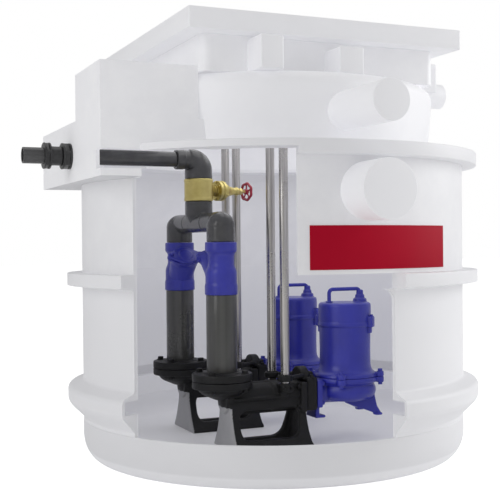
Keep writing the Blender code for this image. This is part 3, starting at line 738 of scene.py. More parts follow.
def neckOutline(grow=0.0):
    # a flat top, a quarter-circle shoulder and a foot, all moved outward by grow
    centre, radius = neck["shoulder"]
    shoulder = arc(centre, (radius + grow, radius + grow), 90, 0, 12)
    foot = (neck["foot"] + grow, chamber["rimTop"] + gap)
    return np.concatenate([[(neck["inset"], chamber["neckTop"] + grow)], shoulder, [foot]])


def neckSolid(grow):
    # the neck's outer shape as a solid down to the rim, for cutting with
    top, low = (0, chamber["neckTop"] + grow), (0, chamber["rimTop"])
    return turned(np.concatenate([[top], neckOutline(grow), [low]]), sides=160)


def makeNeck():
    # that outline and an inner one turned right round, less the opening, the box and a bore
    inner = np.concatenate([[(neck["innerFoot"], chamber["rimTop"] + gap)],
                            arc(*neck["innerShoulder"], 0, 90, 8), [(neck["inset"], neck["under"])]])
    full = turned(np.concatenate([neckOutline(), inner]), sides=160, ring=True)
    opening = squareLoft([(*neck["opening"], 1.0), (*neck["opening"], 1.2)])
    duct = rodShell((0, -0.40, frontDuct["z"]), (0, -0.60, frontDuct["z"]), frontDuct["bore"], sides=48)
    shells = [carve([full], opening, plainBlock(*outletBox["inNeck"]), duct)]
    shellPiece("neckShell", shells, shellNeck, "neck_front", "neck_rear")


turret = {
    "half": 0.375, "wall": 0.012, "corner": 0.030, "edge": 0.002,
    # lugs on three sides: from, to and top
    "lugs": ((-0.240, -0.1725, 1.222), (0.0, 0.076, 1.205)), "lugReach": 0.471, "lugSink": 0.366,
}
sideDuct = {"y": -0.045, "z": 1.152, "radius": 0.041, "bore": 0.033, "start": 0.3753, "end": 0.612}


def makeTurret():
    # a square tube, and lugs turned about Z: x' = c x - s y and y' = s x + c y
    foot, top = chamber["neckTop"] + gap, chamber["turretTop"] - gap
    half, wall, corner, edge = turret["half"], turret["wall"], turret["corner"], turret["edge"]
    rings = [(half, corner, foot), (half, corner, top - edge), (half - edge, corner - edge, top),
             (half - wall + edge, corner - wall + edge, top), (half - wall, corner - wall, top - edge),
             (half - wall, corner - wall, foot)]
    shells = [squareLoft(rings, steps=10, closed=True)]
    for turn in (0, 90, 180):
        c, s = round(math.cos(math.radians(turn))), round(math.sin(math.radians(turn)))
        for x0, x1, high in turret["lugs"]:
            low = (x0, -turret["lugReach"], foot)
            points, faces, marks = softBlock(low, (x1, -turret["lugSink"], high), 0.004)
            x, y, z = points.T
            shells.append((np.stack([c * x - s * y, s * x + c * y, z], 1), faces, marks))
    y, z = sideDuct["y"], sideDuct["z"]
    bore = rodShell((0.30, y, z), (0.50, y, z), sideDuct["bore"], sides=40)
    shellPiece("turretShell", [carve(shells, bore)], shellTop, "turret")


lid = {
    "foot": 1.232, "top": 1.289, "seat": 1.2707,
    # half width, corner radius and height, below the top edge and within it
    "cover": [(0.345, 0.030, 1.2815), (0.3435, 0.029, 1.2840), (0.340, 0.027, 1.2850), (0.300, 0.022, 1.2850),
              (0.297, 0.020, 1.2838), (0.293, 0.018, 1.2838), (0.290, 0.016, 1.2850)],
    "screwX": 0.235, "screwY": 0.318, "screwZ": 1.2846,
}


def makeLid():
    # lofts of round squares: the frame closed on itself, the cover solid; then four screws
    foot, top, seat = lid["foot"], lid["top"], lid["seat"]
    rings = [(0.431, 0.006, foot + 0.0018), (0.431, 0.006, top - 0.0018), (0.4304, 0.0056, top - 0.0005),
             (0.4292, 0.005, top), (0.3515, 0.0365, top), (0.3490, 0.0340, top - 0.002),
             (0.3485, 0.0335, seat), (0.325, 0.030, seat), (0.325, 0.030, foot), (0.4292, 0.005, foot),
             (0.4304, 0.0056, foot + 0.0005)]
    shellPiece("lidRim", [squareLoft(rings, 8, closed=True)], shellTop, "lid_frame")
    shells = [squareLoft([(0.340, 0.026, seat + gap), (0.345, 0.030, seat + 0.004), *lid["cover"]], 8)]
    for x in (-lid["screwX"], lid["screwX"]):
        for y in (-lid["screwY"], lid["screwY"]):
            shells += bolt((x, y, lid["screwZ"]), (0, 0, 1), 0.010, 0.0022, False)
    shellPiece("coverPlate", shells, shellTop, "access_cover")


def makeOutletBox():
    # two blocks made one, then hollowed and fitted round the wall, the neck and the turret
    edge = outside * math.cos(math.radians(chamber["cutLeft"]))
    both = spareObject("box", [plainBlock(*outletBox["low"])])
    tall = spareObject("tall", [plainBlock(*outletBox["tall"])])
    join = both.modifiers.new("join", "BOOLEAN")
    join.operation = "UNION"
    join.object = tall
    joined = shellOf(both, tall)
    cutters = [
        *(plainBlock(*room) for room in outletBox["rooms"]),
        rodShell((0, 0, 0.70), (0, 0, chamber["rimTop"] + 2 * gap), inside, soft=1e-4, sides=160),
        neckSolid(gap),
        squareLoft([(0.3753, 0.03, 1.0), (0.3753, 0.03, 1.3)], 10),
        plainBlock((-0.700, -0.398, 0.860), (-0.400, -0.298, 0.912)),
        plainBlock((edge, -0.398, 0.800), (-0.400, -0.272, 0.912)),
        rodShell((-0.70, 0, 0.918), (-0.60, 0, 0.918), 0.0243, sides=40),
    ]
    # painted shade: faces below the underside height get a copy with almost no glow, so the box's underside
    # is darker
    points, faces, _ = carve([joined], *cutters)
    under = [int(points[face][:, 2].max() < outletBox["underside"]) for face in faces]
    shellPiece("sideBox", [(points, faces, under)], [shellNeck, paintedShadeUnder], "outlet_box",
               bevel=outletBox["edge"])


def makeStub(name, start, end, radius, bore, node, cutters=()):
    # a closed spigot: outside, eased end, then back down the bore
    long, cap, sharp = np.linalg.norm(np.subtract(end, start)), 0.010, 1e-5
    outline = rounded([(bore, 0), (radius, 0), (radius, long), (0, long)], [sharp, sharp, 0.0015, sharp], 3,
                      False)
    back = rounded([(0, long - cap), (bore, long - cap), (bore, 0)], [sharp, 0.004, sharp], 4, False)
    shell = turned(np.concatenate([outline, back]), at=start, along=np.subtract(end, start), sides=64)
    if cutters:
        shell = carve([shell], *cutters)
    shellPiece(name, [shell], shellNeck, node)


def makeStubs():
    # the inlet and both duct ends, each along its own line
    x, z = inlet["x"], inlet["z"]
    makeStub("inletSpigot", (x, -0.590, z), (x, -0.720, z), inlet["radius"], inlet["bore"], "inlet_stub")
    z = frontDuct["z"]
    makeStub("ductFront", (0, -0.495, z), (0, -0.745, z), frontDuct["radius"], frontDuct["bore"],
             "duct_stub_front")
    y, z = sideDuct["y"], sideDuct["z"]
    makeStub("ductSide", (sideDuct["start"], y, z), (sideDuct["end"], y, z), sideDuct["radius"],
             sideDuct["bore"], "duct_stub_side", [neckSolid(2 * gap)])


label = {
    "outer": 0.6018, "inner": 0.6003, "top": 0.703, "foot": 0.585, "span": (255.1, 300.1),
    "soft": 0.0006,
}


def makeLabel():
    # a thin bare film turned with the wall
    outer, inner, top, foot = label["outer"], label["inner"], label["top"], label["foot"]
    outline = rounded([(outer, top), (outer, foot), (inner, foot), (inner, top)], label["soft"], 3)
    film = turned(outline, sides=60, span=label["span"], ring=True)
    piece("labelFilm", [film], labelRed, "station", ["label_plate"], "label_red")


makeBase()
makeBands()
makeCutCorner()
makeRim()
makeNeck()
makeTurret()
makeLid()
makeOutletBox()
makeStubs()
makeLabel()
print("chamber made")


# pipework

line = {
    "pipeX": -0.2495, "pumpX": 0.1616, "y": 0.185, "riser": 0.045, "flange": 0.089, "boltRing": 0.073,
    "pumpLine": 0.200, "coupling": 0.005, "clawDepth": 0.036, "railX": -0.067, "railSpread": 0.048,
    "railFoot": 0.240, "manifold": 0.722, "outlet": 0.918, "valvePipe": 0.0425, "checkLow": 0.507,
    "checkTop": 0.6622, "elbowFoot": 0.704, "teeTop": 0.7887, "arm": 0.0295,
}
sides = ((1, -line["y"]), (2, line["y"]))


def boltRing(x, y, z, along, across):
    # four bolts round a pipe's flange
    shells = []
    for k in range(4):
        shells += bolt(line["boltRing"] * spin(90 * k + 45) + (x, y, z), along, across, 0.009)
    return shells


pedestal = {
    "left": -0.242, "sole": 0.0503, "wallOut": 0.035, "wallHalf": 0.0055, "paintedLitFace": 0.176, "voxel": 0.0022,
    "dish": [(0, 0.196), (0.020, 0.198), (0.058, 0.2145), (0.069, 0.2235), (0.073, 0.236), (0, 0.236)],
    "flangeFoot": 0.233, "flangeTop": 0.2547, "barrel": 0.042, "thick": 0.0445, "socket": 0.0215,
}


def flareOf(z):
    # half width of the legs: it opens with a power of the drop below
    drop = np.clip((0.18 - z) / 0.13, 0, 1)
    return 1.1 + 1.35 * drop**1.8


def makeLegs(face):
    # two windowed walls, two ends and two soles, melted and then flared
    left, sole, reach, half = (pedestal[key] for key in ("left", "sole", "wallOut", "wallHalf"))
    outline = rounded([(left, sole), (0.006, sole), (-0.004, 0.186), (left + 0.004, 0.190)], 0.006)
    legs = []
    for side in (-1, 1):
        wall = plateY(outline, side * reach - half, side * reach + half, 0.002)
        bar = 0.073 - 0.009 * side
        window = rounded([(-0.214, bar), (-0.030, bar), (-0.017, 0.166), (-0.214, 0.166)], 0.030, 8)
        legs.append(carve([wall], plateY(window, side * reach - 0.02, side * reach + 0.02, 0.0001)))
    legs += [
        plateX(roundBox(0.0405, 0.070, 0.004) + np.array((0, 0.1203)), left, left + 0.012, 0.002),
        plateX(roundBox(0.0405, 0.068, 0.004) + np.array((0, 0.1183)), -0.008, face - 0.002, 0.002),
        softBlock((left, -0.0403, sole), (0.0075, -0.028, 0.062), 0.002),
        softBlock((left, 0.028, sole), (0.0075, 0.0403, 0.062), 0.002),
    ]
    points, faces, _ = melt(legs, 0.0024, 2)
    x, y, z = points.T
    return np.stack([x, y * flareOf(z), np.maximum(z, sole)], 1), faces, 0


def makePedestal(number, y):
    # legs, dish, flange, pipe, face and rail feet, melted into one casting, with its bolts
    x, face, left, pipe = line["pipeX"], line["coupling"] - gap, pedestal["left"], line["pumpLine"]
    railX, railTop, flange = line["railX"], line["railFoot"] - gap, line["flange"]
    foot, top = pedestal["flangeFoot"], pedestal["flangeTop"]
    shells = [
        makeLegs(face),
        solidTurned(pedestal["dish"], 0.004, 4, at=(x, 0, 0), sides=48),
        solidTurned([(0, foot), (flange, foot), (flange, top), (0, top)], 0.003, 3, at=(x, 0, 0), sides=72),
        ballShell((x + 0.030, 0, pipe + 0.002), pedestal["barrel"]),
        rodShell((x, 0, pipe), (face - 0.012, 0, pipe), pedestal["barrel"], sides=40),
        rodShell((-0.100, 0, pipe), (face - 0.010, 0, pipe), pedestal["thick"], sides=40),
        softBlock((face - 0.022, -0.056, 0.150), (face, 0.056, 0.240), 0.006),
        softBlock((railX - 0.020, -0.066, 0.214), (railX + 0.020, 0.066, railTop), 0.004),
        softBlock((railX - 0.012, -0.050, 0.200), (railX + 0.012, 0.050, 0.222), 0.004),
        softBlock((x + 0.02, -0.0045, 0.236), (face - 0.025, 0.0045, 0.2455), 0.002),
        softBlock((x + 0.02, -0.047, 0.1955), (face - 0.02, 0.047, 0.2045), 0.002),
        softBlock((left + 0.006, -0.010, 0.150), (-0.010, 0.010, 0.172), 0.003),
    ]
    for across in (-line["railSpread"], line["railSpread"]):
        shells.append(rodShell((railX, across, 0.214), (railX, across, railTop), pedestal["socket"]))
    points, faces, _ = shifted([melt(shells, pedestal["voxel"], 2)], y)[0]
    middle = np.array([points[face].mean(0) for face in faces])
    # painted light: faces at the legs' left end, below that height, take the lit grey copy
    paintedLitFace = (middle[:, 0] < left + 0.0045) & (middle[:, 2] < pedestal["paintedLitFace"])
    extra = boltRing(x, y, 0.2335, (0, 0, -1), 0.016)
    for side in (-1, 1):
        for z in (0.168, 0.226):
            extra += bolt((face - 0.0215, y + side * 0.045, z), (-1, 0, 0), 0.013, 0.007)
        for dx in (-0.013, 0.013):
            extra += bolt((railX + dx, y + side * 0.065, 0.227), (0, side, 0), 0.008, 0.005)
    piece(f"pedestal{number}", [(points, faces, paintedLitFace.astype(int)), *extra], [blackIron, paintedLitIron],
          "station", [f"pedestal_{number}"], "black_casting", angle=60)


riser = {"flangeFoot": 0.2553, "flangeTop": 0.277, "hub": 0.2815, "foot": 0.255, "boltFoot": 0.2768}


def makeRiser(number, y):
    # a flange with a raised hub, turned round the upright pipe, and the pipe
    x, r, flange, hub = line["pipeX"], line["riser"], line["flange"], riser["hub"]
    foot, top = riser["flangeFoot"], riser["flangeTop"]
    outline = [(r + gap, foot), (flange, foot), (flange, top), (0.060, top), (0.057, 0.2805), (0.051, hub),
               (r + gap, hub)]
    soft = [1e-5, 0.003, 0.003, 0.004, 0.003, 0.002, 1e-5]
    shells = [turned(rounded(outline, soft, 3), at=(x, y, 0), sides=72, ring=True)]
    shells += boltRing(x, y, riser["boltFoot"], (0, 0, 1), 0.017)
    piece(f"riserFlange{number}", shells, blackIron, "station", [f"riser_flange_{number}"], "black_casting")
    end = line["checkLow"] - gap
    tube = [(0, riser["foot"]), (r, riser["foot"]), (r, end), (0, end)]
    pipe = solidTurned(tube, 0.001, 2, at=(x, y, 0), sides=72)
    piece(f"riserPipe{number}", [pipe], pipeGrey, "station", [f"riser_{number}"], "grey_pipe")


checkValve = {
    "ways": {1: (0.083, 0.9965), 2: (-0.083, -0.9965)}, "root": 0.545, "lugs": 0.046,
    "soft": [1e-5, 0.003, 0.003, 0.006, 0.008, 0.008, 0.004, 0.003, 0.003, 1e-5],
    # half widths of the branch at distances along it
    "reach": (0.0, 0.045, 0.080, 0.101), "wide": (0.042, 0.041, 0.045, 0.053),
    "tall": (0.040, 0.036, 0.032, 0.034),
}


def ovalOutline():
    # a round middle with a round lug at each end
    lugs = checkValve["lugs"]
    return np.concatenate([
        arc((lugs, 0), (0.012, 0.014), -75, 75, 6), arc((0, 0), (0.036, 0.036), 50, 130, 8),
        arc((-lugs, 0), (0.012, 0.014), 105, 255, 6), arc((0, 0), (0.036, 0.036), 230, 310, 8)])


def makeCheckValve(number, y):
    # an upright body with a rising branch that widens to an oval bolted cover
    x, low, high, way = line["pipeX"], line["checkLow"], line["checkTop"], checkValve["ways"][number]
    outline = [(0, high), (0.0470, high), (0.0470, high - 0.027), (0.0390, high - 0.036), (0.0385, 0.593),
               (0.0462, 0.578), (0.0465, low + 0.034), (0.0485, low + 0.028), (0.0485, low), (0, low)]
    core = solidTurned(outline, checkValve["soft"], 5, at=(x, y, 0), sides=72)
    rise = unit(np.array((way[0], way[1], 0.0)) + np.array((0, 0, 1.0)))
    side = np.array((-way[1], way[0], 0.0))
    top = np.cross(rise, side)
    root = np.array((x, y, checkValve["root"]))
    reach = np.array(checkValve["reach"])
    spots = np.interp(np.linspace(0, 1, 24), np.linspace(0, 1, 4), reach)
    w, h = np.interp(spots, reach, checkValve["wide"]), np.interp(spots, reach, checkValve["tall"])
    a = np.linspace(0, 2 * math.pi, 48, endpoint=False)
    points = (root + spots[:, None, None] * rise
              + w[:, None, None] * np.cos(a)[None, :, None] * side
              + h[:, None, None] * np.sin(a)[None, :, None] * top)
    branch = grid(points, False, True, True)
    seat, axes, oval = root + rise * checkValve["reach"][-1], (side, top, rise), ovalOutline()
    flange = slab(oval, -0.009, 0.0, at=seat, axes=axes, edge=0.002)
    body = melt([core, branch, flange], 0.0016, 4, 0.6)
    piece(f"checkValve{number}", [body], royalBlue, "station", [f"check_valve_{number}"], "blue_paint",
          angle=60)
    boss = [(0, 0.006), (0.027, 0.006), (0.022, 0.0125), (0, 0.0130)]
    cover = [slab(oval * 0.985, gap, 0.0095, at=seat, axes=axes, edge=0.0025),
             solidTurned(boss, 0.004, 4, at=seat, along=rise, sides=40)]
    for end in (-checkValve["lugs"], checkValve["lugs"]):
        cover += bolt(seat + side * end + rise * 0.0092, rise, 0.013, 0.007)
        cover += bolt(seat + side * end - rise * 0.0085, -rise, 0.013, 0.006)
    piece(f"checkCover{number}", cover, royalBlue, "station", [f"check_valve_cover_{number}"], "blue_paint")


manifold = {"bend": 0.028, "steps": 14, "elbow": 0.0420, "ball": 0.7098, "half": 0.080}


def makeManifold():
    # a circle carried round each elbow's bend, and the tee between the elbows
    x, z, arm, r = line["pipeX"], line["manifold"], line["arm"], manifold["elbow"]
    bend, steps, half, foot = manifold["bend"], manifold["steps"], manifold["half"], line["checkTop"] + gap
    for number, y in sides:
        inward = -math.copysign(1, y)
        end = y + inward * (line["y"] - half - gap)
        # one bend from the upright socket to the level arm
        t = np.linspace(0, math.pi / 2, steps)
        across, level = y + inward * bend * (1 - np.cos(t)), z - bend + bend * np.sin(t)
        path = np.stack([np.full(steps, x), across, level], 1)
        path = np.concatenate([[(x, y, foot + 0.002)], path, [(x, end - inward * 0.012, z)]])
        radii = np.concatenate([[r], np.linspace(r, arm + 0.0005, steps), [arm]])
        shells = [
            carried(circle(1.0, 40), path, (1, 0, 0), size=radii),
            rodShell((x, y, foot), (x, y, line["elbowFoot"]), r, sides=48),
            ballShell((x, y, manifold["ball"]), r, 40),
            rodShell((x, y, z), (x, end, z), arm, sides=40),
        ]
        piece(f"manifoldElbow{number}", [melt(shells, 0.0016, 6, 0.6)], fittingGrey, "station",
              [f"manifold_elbow_{number}"], "charcoal_fitting", angle=60)
    wide, top = line["valvePipe"], line["teeTop"]
    root = [(0, z - 0.012), (0.024, z - 0.010), (0.0415, z + 0.022), (wide, z + 0.026), (wide, top), (0, top)]
    shells = [
        rodShell((x, -half, z), (x, half, z), arm, sides=48),
        solidTurned(root, [1e-5, 0.002, 0.006, 0.002, 0.001, 1e-5], 4, at=(x, 0, 0), sides=56),
    ]
    piece("manifoldTee", [melt(shells, 0.0016, 3, 0.6)], fittingGrey, "station", ["manifold_tee"],
          "charcoal_fitting", angle=60)


gateValve = {
    "z": 0.824, "turn": 15, "radius": 0.0450, "inset": 0.0008, "face": 0.060,
    # turned parts of the bonnet, out along the stem: outline, softness and sides
    "bonnet": [
        ([(0, 0), (0.0195, 0), (0.0195, 0.008), (0, 0.008)], 0.001, 40),
        ([(0, 0.0065), (0.0318, 0.0065), (0.0318, 0.0165), (0.0285, 0.0185), (0.0285, 0.0205),
          (0.0318, 0.0225), (0.0318, 0.0315), (0, 0.0315)], 0.0018, 48),
        ([(0, 0.0300), (0.0255, 0.0300), (0.0245, 0.0400), (0.0165, 0.0540), (0.0125, 0.0700),
          (0.0110, 0.0800), (0.0135, 0.0830), (0.0135, 0.0900), (0.0100, 0.0930), (0.0092, 0.1040),
          (0, 0.1040)], 0.003, 40),
    ],
    "gland": [(0.0056, 0.100), (0.0085, 0.100), (0.0078, 0.1117), (0.0056, 0.1117)],
    "bolts": 6, "boltOut": 0.0262,
}
stemTurn = math.radians(gateValve["turn"])
stem = np.array((math.cos(stemTurn), math.sin(stemTurn), 0.0))
valveMid = np.array((line["pipeX"], 0.0, gateValve["z"]))


def makeGateValve():
    # a smooth round body, then the bonnet out along the stem: neck, flange, cone and gland
    r = gateValve["radius"]
    waist, sharp = r - gateValve["inset"], 0.0004
    outline = [(0, 0.8585), (r, 0.8585), (r, 0.8500), (waist, 0.8492), (waist, 0.7988), (r, 0.7980),
               (r, 0.7895), (0, 0.7895)]
    soft = [1e-5, 0.003, sharp, sharp, sharp, sharp, 0.003, 1e-5]
    casting = [
        solidTurned(outline, soft, 3, at=(line["pipeX"], 0, 0), sides=64),
        rodShell(valveMid, valveMid + stem * 0.0597, 0.0175, sides=40),
        rodShell(valveMid + stem * 0.030, valveMid + stem * 0.050, 0.027, 0.0200, sides=40),
    ]
    piece("gateValve", [melt(casting, 0.0013, 3, 0.6)], yellowBrass, "station", ["gate_valve_body"], "brass",
          angle=60)
    start = valveMid + stem * (gateValve["face"] + gap)
    u, v, _ = axesFor(stem)
    bonnet = [solidTurned(outline, soft, 3, at=start, along=stem, sides=count)
              for outline, soft, count in gateValve["bonnet"]]
    bonnet += [
        slab(hexOutline(0.0205), 0.0960, 0.1060, at=start, along=stem, edge=0.0015),
        turned(rounded(gateValve["gland"], 0.0010, 3), at=start, along=stem, sides=32, ring=True),
    ]
    for k in range(gateValve["bolts"]):
        angle = math.radians(60 * k + 30)
        out = gateValve["boltOut"] * (math.cos(angle) * u + math.sin(angle) * v)
        bonnet += bolt(start + out + stem * 0.0313, stem, 0.0065, 0.0040, False)
        bonnet += bolt(start + out + stem * 0.0067, -stem, 0.0065, 0.0035, False)
    piece("valveBonnet", bonnet, yellowBrass, "station", ["gate_valve_bonnet"], "brass")


wheel = {
    "along": 0.188, "rim": 0.0258, "scallops": 7, "depth": 0.045, "bar": 0.0045, "spokes": 5, "turn": 18,
    "hub": [(0, -0.0065), (0.0085, -0.0065), (0.0092, -0.002), (0.0085, 0.0052), (0, 0.0052)],
    "rod": 0.0046, "thread": 0.0003, "threads": 9, "plain": 0.75,
}


def makeHandwheel():
    # rim radius R (1 + w cos n a) gives the finger scallops
    centre = valveMid + stem * wheel["along"]
    u, v, w = axesFor(stem)
    a = np.linspace(0, 2 * math.pi, 140, endpoint=False)
    b = np.linspace(0, 2 * math.pi, 16, endpoint=False)
    major = wheel["rim"] * (1 + wheel["depth"] * np.cos(wheel["scallops"] * a))
    out = np.cos(a)[:, None] * u + np.sin(a)[:, None] * v
    ring = major[:, None, None] * out[:, None] + wheel["bar"] * (
        np.cos(b)[None, :, None] * out[:, None] + np.sin(b)[None, :, None] * w)
    shells = [grid(centre + ring, True, True), solidTurned(wheel["hub"], 0.0012, 3, at=centre, along=stem,
                                                           sides=32)]
    t = np.linspace(0, 1, 10)
    bow = 0.0015 * np.sin(math.pi * t) - 0.0008
    section, size = circle(1.0, 12) * np.array((0.0032, 0.0024)), 1.15 - 0.25 * np.sin(math.pi * t)
    for k in range(wheel["spokes"]):
        angle = math.radians(72 * k + wheel["turn"])
        way = math.cos(angle) * u + math.sin(angle) * v
        path = centre + way * (0.004 + 0.0212 * t)[:, None] + w * bow[:, None]
        shells.append(carried(section, path, w, size=size))
    # the stem is threaded but for its outer end
    reach = wheel["along"] - (gateValve["face"] + 0.1117 - 0.010)
    thread = np.linspace(0, 1, 40)
    ridges = np.sin(thread * 2 * math.pi * wheel["threads"]) * (thread < wheel["plain"])
    radius = wheel["rod"] + wheel["thread"] * ridges
    profile = np.concatenate([[(0, -reach)], np.stack([radius, -reach + thread * reach], 1), [(0, 0)]])
    rod = turned(profile, at=centre, along=stem, sides=20, finish=1)
    nut = bolt(centre + w * 0.0050, w, 0.0085, 0.0028, False, finish=1)
    piece("handWheel", [melt(shells, 0.0007, 2, 0.6), rod, *nut], [wheelRed, yellowBrass], "handwheel",
          ["handwheel"], "wheel_red", angle=50)


outlet = {
    "lip": 0.075, "end": 0.789, "tubeInner": 0.019, "tubeOuter": 0.0237, "nutBore": 0.0240,
    "nuts": (("innerNut", 0.6503, 0.6765, "inner_nut"), ("outerNut", 0.7100, 0.7297, "outer_nut")),
    "hexagon": 0.0670, "nutLip": 0.0385,
    "collar": [(0.0240, 0.6768), (0.0285, 0.6768), (0.0275, 0.6930), (0.0285, 0.7097), (0.0240, 0.7097)],
}


def makeDischarge():
    x, z, r = line["pipeX"], line["outlet"], line["valvePipe"]
    lip = x - outlet["lip"]
    # the bend's outer side is an arc and its inner side a corner: each section spans the two
    t = np.linspace(0, math.pi / 2, 18)[:, None]
    heel = np.array((x - 0.042, 0.8905))
    outer = np.array((x - 0.0225, 0.8830)) + 0.065 * np.hstack([np.cos(t), np.sin(t)])
    middle = (outer + heel) / 2
    radii = np.linalg.norm(outer - heel, axis=1) / 2
    path = np.stack([middle[:, 0], np.zeros(len(middle)), middle[:, 1]], 1)
    shells = [
        carried(circle(1.0, 44), path, (0, 1, 0), size=radii),
        rodShell((x, 0, 0.8590), (x, 0, 0.8880), r, sides=56),
        rodShell((x - 0.024, 0, z), (lip, 0, z), 0.0292, sides=44),
        rodShell((lip + 0.026, 0, z), (lip, 0, z), 0.0312, sides=44),
    ]
    piece("dischargeElbow", [melt(shells, 0.0015, 4, 0.6)], fittingGrey, "station", ["discharge_elbow"],
          "charcoal_fitting", angle=60)
    # the rest is turned round the pipe's line, with heights measured out along -X
    where = {"at": (0, 0, z), "along": (-1, 0, 0)}
    start, end, inner, outer = gap - lip, outlet["end"], outlet["tubeInner"], outlet["tubeOuter"]
    tube = rounded([(inner, end), (outer, end), (outer, start), (inner, start)],
                   [0.001, 0.0008, 0.004, 0.0008], 3)
    piece("dischargePipe", [turned(tube, sides=56, ring=True, **where)], fittingGrey, "station",
          ["discharge_pipe"], "charcoal_fitting")
    bore = rodShell((-0.60, 0, z), (-0.80, 0, z), outlet["nutBore"], sides=48)
    for name, x0, x1, nodeName in outlet["nuts"]:
        # a hexagon between two flared lips
        parts = [slab(hexOutline(outlet["hexagon"], 15), x0 + 0.003, x1 - 0.003, edge=0.002, **where)]
        for low, high in ((x0, x0 + 0.0055), (x1 - 0.0055, x1)):
            disc = [(0, low), (outlet["nutLip"], low), (outlet["nutLip"], high), (0, high)]
            parts.append(solidTurned(disc, 0.0012, sides=48, **where))
        piece(name, [carve([part], bore) for part in parts], unionBlack, "station", [nodeName],
              "charcoal_fitting")
    collar = turned(rounded(outlet["collar"], [1e-5, 0.002, 0.006, 0.002, 1e-5], 3), sides=48, ring=True,
                    **where)
    piece("unionCollar", [collar], unionBlack, "station", ["union_collar"], "charcoal_fitting")


for number, y in sides:
    makePedestal(number, y)
    makeRiser(number, y)
    makeCheckValve(number, y)
makeManifold()
makeGateValve()
makeHandwheel()
makeDischarge()
print("pipework made")


# pumps and rails

rails = {
    "top": 1.1497, "radius": 0.0135, "wall": 0.002, "beamHalf": 0.3627, "beamFoot": 1.150,
    "section": [
        (-0.020, 0.0), (0.020, 0.0), (0.020, 0.030), (0.014, 0.030), (0.014, 0.0265), (0.0165, 0.0265),
        (0.0165, 0.0035), (-0.0165, 0.0035), (-0.0165, 0.0265), (-0.014, 0.0265), (-0.014, 0.030),
        (-0.020, 0.030),
    ],
}
railLines = [y + side * line["railSpread"] for _, y in sides for side in (-1, 1)]


def makeRails():
    # four tubes, then a channel section with turned lips and a bolt over each rail
    x, foot, top, r = line["railX"], line["railFoot"], rails["top"], rails["radius"]
    bore, low, half = r - rails["wall"], rails["beamFoot"], rails["beamHalf"]
    tube = rounded([(bore, foot), (r, foot), (r, top), (bore, top)], 0.0006, 2)
    section = rounded(np.array(rails["section"]) + np.array((x, low)), 0.001, 2)
    beam = [plateY(section, -half, half, 0.0003)]
    for number, y in enumerate(railLines, 1):
        piece(f"guideRail{number}", [turned(tube, at=(x, y, 0), sides=40, ring=True)], railSteel, "station",
              [f"guide_rail_{number}"], "stainless")
        beam += bolt((x, y, low + 0.0030), (0, 0, 1), 0.014, 0.008)
    piece("railBeam", beam, railSteel, "station", ["rail_beam"], "stainless")


pump = {
    # the flange where casing and motor meet has four round lugs, each with a bolt from either side
    "joint": 0.2443, "lugTurn": -35, "lugOut": 0.1055, "lugRadius": 0.0145, "boltOut": 0.1085,
    "handleHalf": 0.054,
}
up = np.array((0, 0, 1.0))


def lugPlaces(out, z):
    # middle + out (cos a, sin a), a quarter turn apart
    middle = np.array((line["pumpX"], 0, z))
    return [middle + out * spin(90 * k + pump["lugTurn"]) for k in range(4)]


def roundLugs(low, high):
    # a short upright bar at each of those places
    ends = zip(lugPlaces(pump["lugOut"], low), lugPlaces(pump["lugOut"], high))
    return [rodShell(start, end, pump["lugRadius"], sides=28) for start, end in ends]


def lugBolts(z, along, across, head):
    # a bolt at each of those places, a little further out
    shells = []
    for place in lugPlaces(pump["boltOut"], z):
        shells += bolt(place, along, across, head)
    return shells


volute = {
    "z": 0.2025, "ring": (0.0620, 0.0030), "tube": (0.0275, 0.0025), "widest": -20, "finTurns": (-35, 35),
    "casing": [
        (0, 0.2440), (0.101, 0.2440), (0.102, 0.2300), (0.092, 0.2260), (0.082, 0.214), (0.082, 0.190),
        (0.074, 0.1725), (0, 0.1725),
    ],
    "fin": [
        (0.004, 0.182), (0.004, 0.1585), (0.088, 0.1305), (0.098, 0.1250), (0.109, 0.1250), (0.109, 0.133),
        (0.098, 0.152), (0.090, 0.190),
    ],
}


